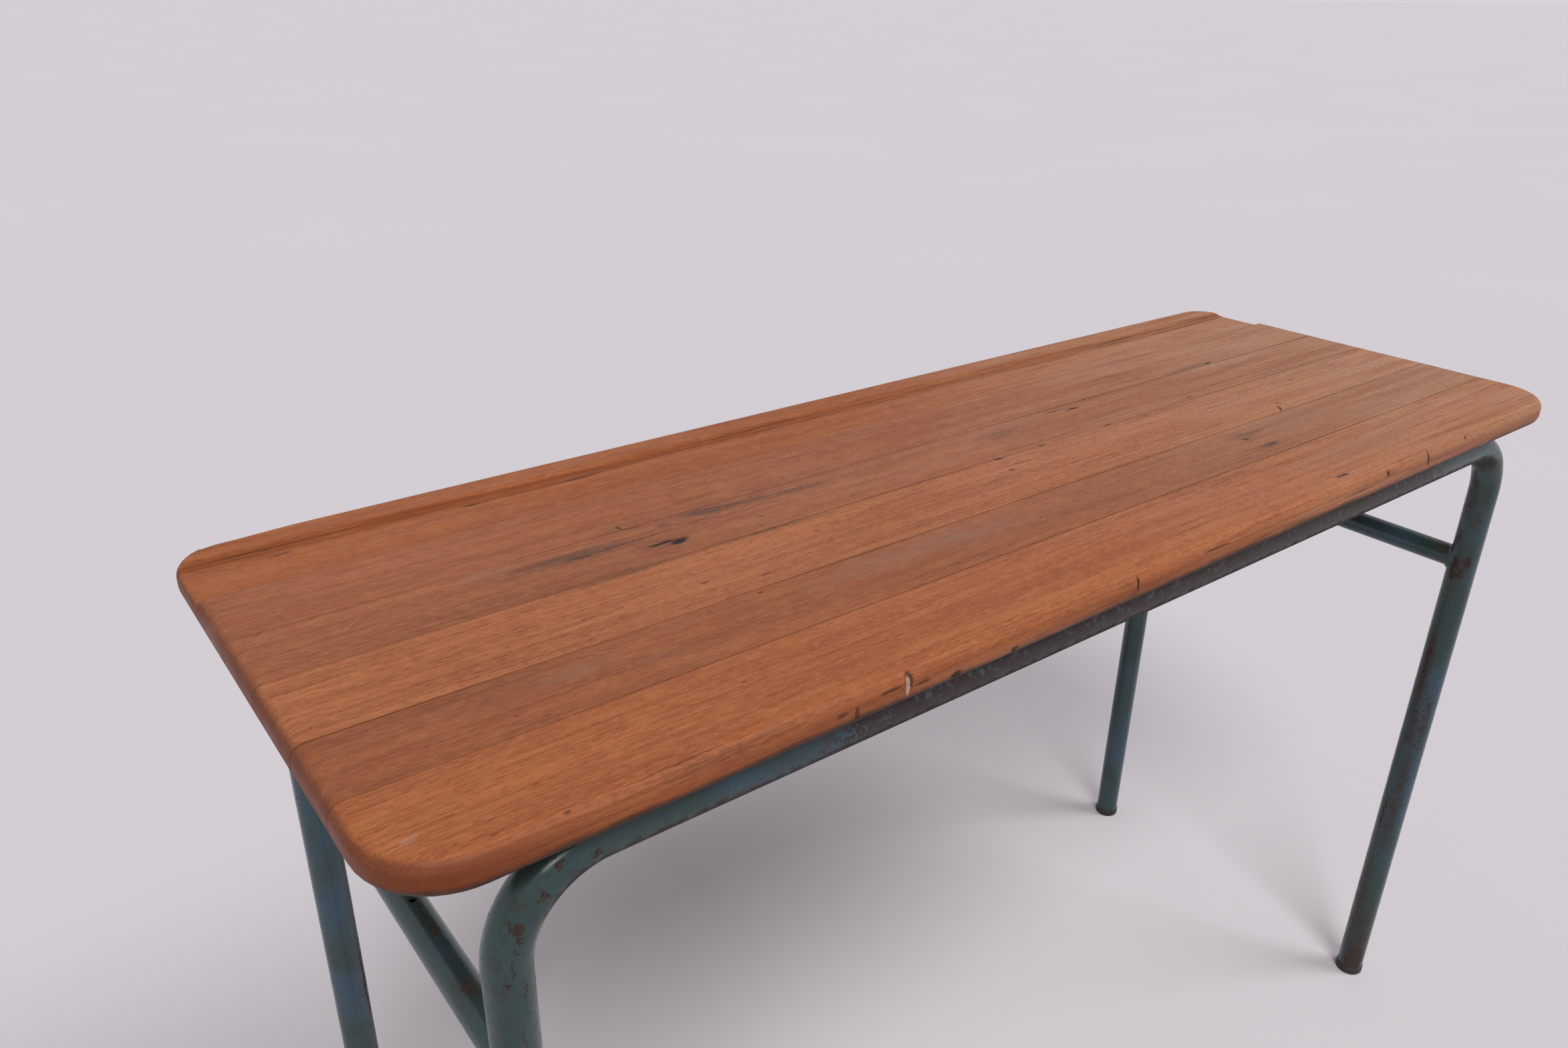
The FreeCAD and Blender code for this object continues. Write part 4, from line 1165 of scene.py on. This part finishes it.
class DESK_OT_screws(bpy.types.Operator):
    """Make the wood screws, with the crowns of their hexagon heads turned down"""

    bl_idname = "desk.screws"
    bl_label = "Screws"

    def execute(self, context):
        look = context.scene.desk_frame
        bm = solid_of("top_screws")
        lowest = min(v.co.z for v in bm.verts)
        ease(bm, [e for e in bm.edges if all(abs(v.co.z - lowest) < NEAR for v in e.verts)], look.edge_ease)
        finish_piece(bm, "hexagon_screws", ["top_screws"], plated_steel(look))
        return {"FINISHED"}


class DESK_OT_stage(bpy.types.Operator):
    """Set the floor, the soft lights and the camera"""

    bl_idname = "desk.stage"
    bl_label = "Stage"

    def execute(self, context):
        look = context.scene.desk_stage
        scene = context.scene
        bm = bmesh.new()
        bmesh.ops.create_circle(bm, cap_ends=True, segments=96, radius=look.floor_radius)
        mesh = bpy.data.meshes.new("floor")
        bm.to_mesh(mesh)
        bm.free()
        mesh.materials.append(pale_floor(look))
        floor = bpy.data.objects.new("floor", mesh)
        scene.collection.objects.link(floor)

        for name, power, place in (
            ("left_light", look.left_light, (-0.5, -0.75, 1.1)),
            ("right_light", look.right_light, (0.6, -0.6, 1.1)),
        ):
            light = bpy.data.lights.new(name, "SUN")
            light.energy = power
            light.angle = look.softness
            lamp = bpy.data.objects.new(name, light)
            lamp.rotation_euler = (-Vector(place)).to_track_quat("-Z", "Y").to_euler()
            scene.collection.objects.link(lamp)

        # the desk is lit by an even white sky, and the camera and its reflections see the floor's tint
        world = bpy.data.worlds.new("soft_room")
        world.use_nodes = True
        scene.world = world
        tree = world.node_tree
        sky = tree.nodes["Background"]
        rays = add(tree, "LightPath").outputs
        seen = 0.0
        for kind in ("Is Camera Ray", "Is Glossy Ray", "Is Transmission Ray"):
            seen = add(tree, "Math", seen, rays[kind], operation="MAXIMUM")
        connect(tree, product(tree, (seen, 0.0, 1.0, look.sky_strength, 1.0)), sky.inputs["Strength"])
        connect(tree, coats(tree, WHITE, (look.floor_colour, seen)), sky.inputs["Color"])

        camera = bpy.data.cameras.new("photo_camera")
        camera.sensor_fit = "HORIZONTAL"
        camera.sensor_width = 36
        camera.lens = look.lens
        camera.clip_end = 100
        eye = bpy.data.objects.new("photo_camera", camera)
        level = math.cos(look.camera_elevation)
        forward = Vector((math.sin(look.camera_azimuth) * level, math.cos(look.camera_azimuth) * level,
                          math.sin(look.camera_elevation)))
        turn = forward.to_track_quat("-Z", "Y").to_matrix() @ Matrix.Rotation(look.camera_roll, 3, "Z")
        eye.matrix_world = Matrix.Translation(look.camera_place) @ turn.to_4x4()
        scene.collection.objects.link(eye)
        scene.camera = eye
        scene.view_settings.view_transform = "Standard"
        return {"FINISHED"}


OPERATORS = (DESK_OT_boards, DESK_OT_leg_frames, DESK_OT_side_rails, DESK_OT_welds, DESK_OT_plugs,
             DESK_OT_lugs, DESK_OT_screws, DESK_OT_stage)


class DESK_PT_panel(bpy.types.Panel):
    """The pieces of the desk, in the order they are made"""

    bl_idname = "DESK_PT_panel"
    bl_label = "School Desk"
    bl_space_type = "VIEW_3D"
    bl_region_type = "UI"
    bl_category = "School Desk"

    def draw(self, context):
        for operator in OPERATORS:
            self.layout.operator(operator.bl_idname)
        for group in ("desk_top", "desk_frame", "desk_stage"):
            look = getattr(context.scene, group)
            box = self.layout.box()
            for name in look.__annotations__:
                box.prop(look, name)


CLASSES = (DeskTopLook, DeskFrameLook, DeskStageLook, *OPERATORS, DESK_PT_panel)


def register():
    for cls in CLASSES:
        bpy.utils.register_class(cls)
    bpy.types.Scene.desk_top = PointerProperty(type=DeskTopLook)
    bpy.types.Scene.desk_frame = PointerProperty(type=DeskFrameLook)
    bpy.types.Scene.desk_stage = PointerProperty(type=DeskStageLook)


def unregister():
    del bpy.types.Scene.desk_stage
    del bpy.types.Scene.desk_frame
    del bpy.types.Scene.desk_top
    for cls in reversed(CLASSES):
        bpy.utils.unregister_class(cls)


def main():
    """Make every piece and the stage."""
    register()
    for operator in OPERATORS:
        category, name = operator.bl_idname.split(".")
        getattr(getattr(bpy.ops, category), name)()


if __name__ == "__main__":
    main()
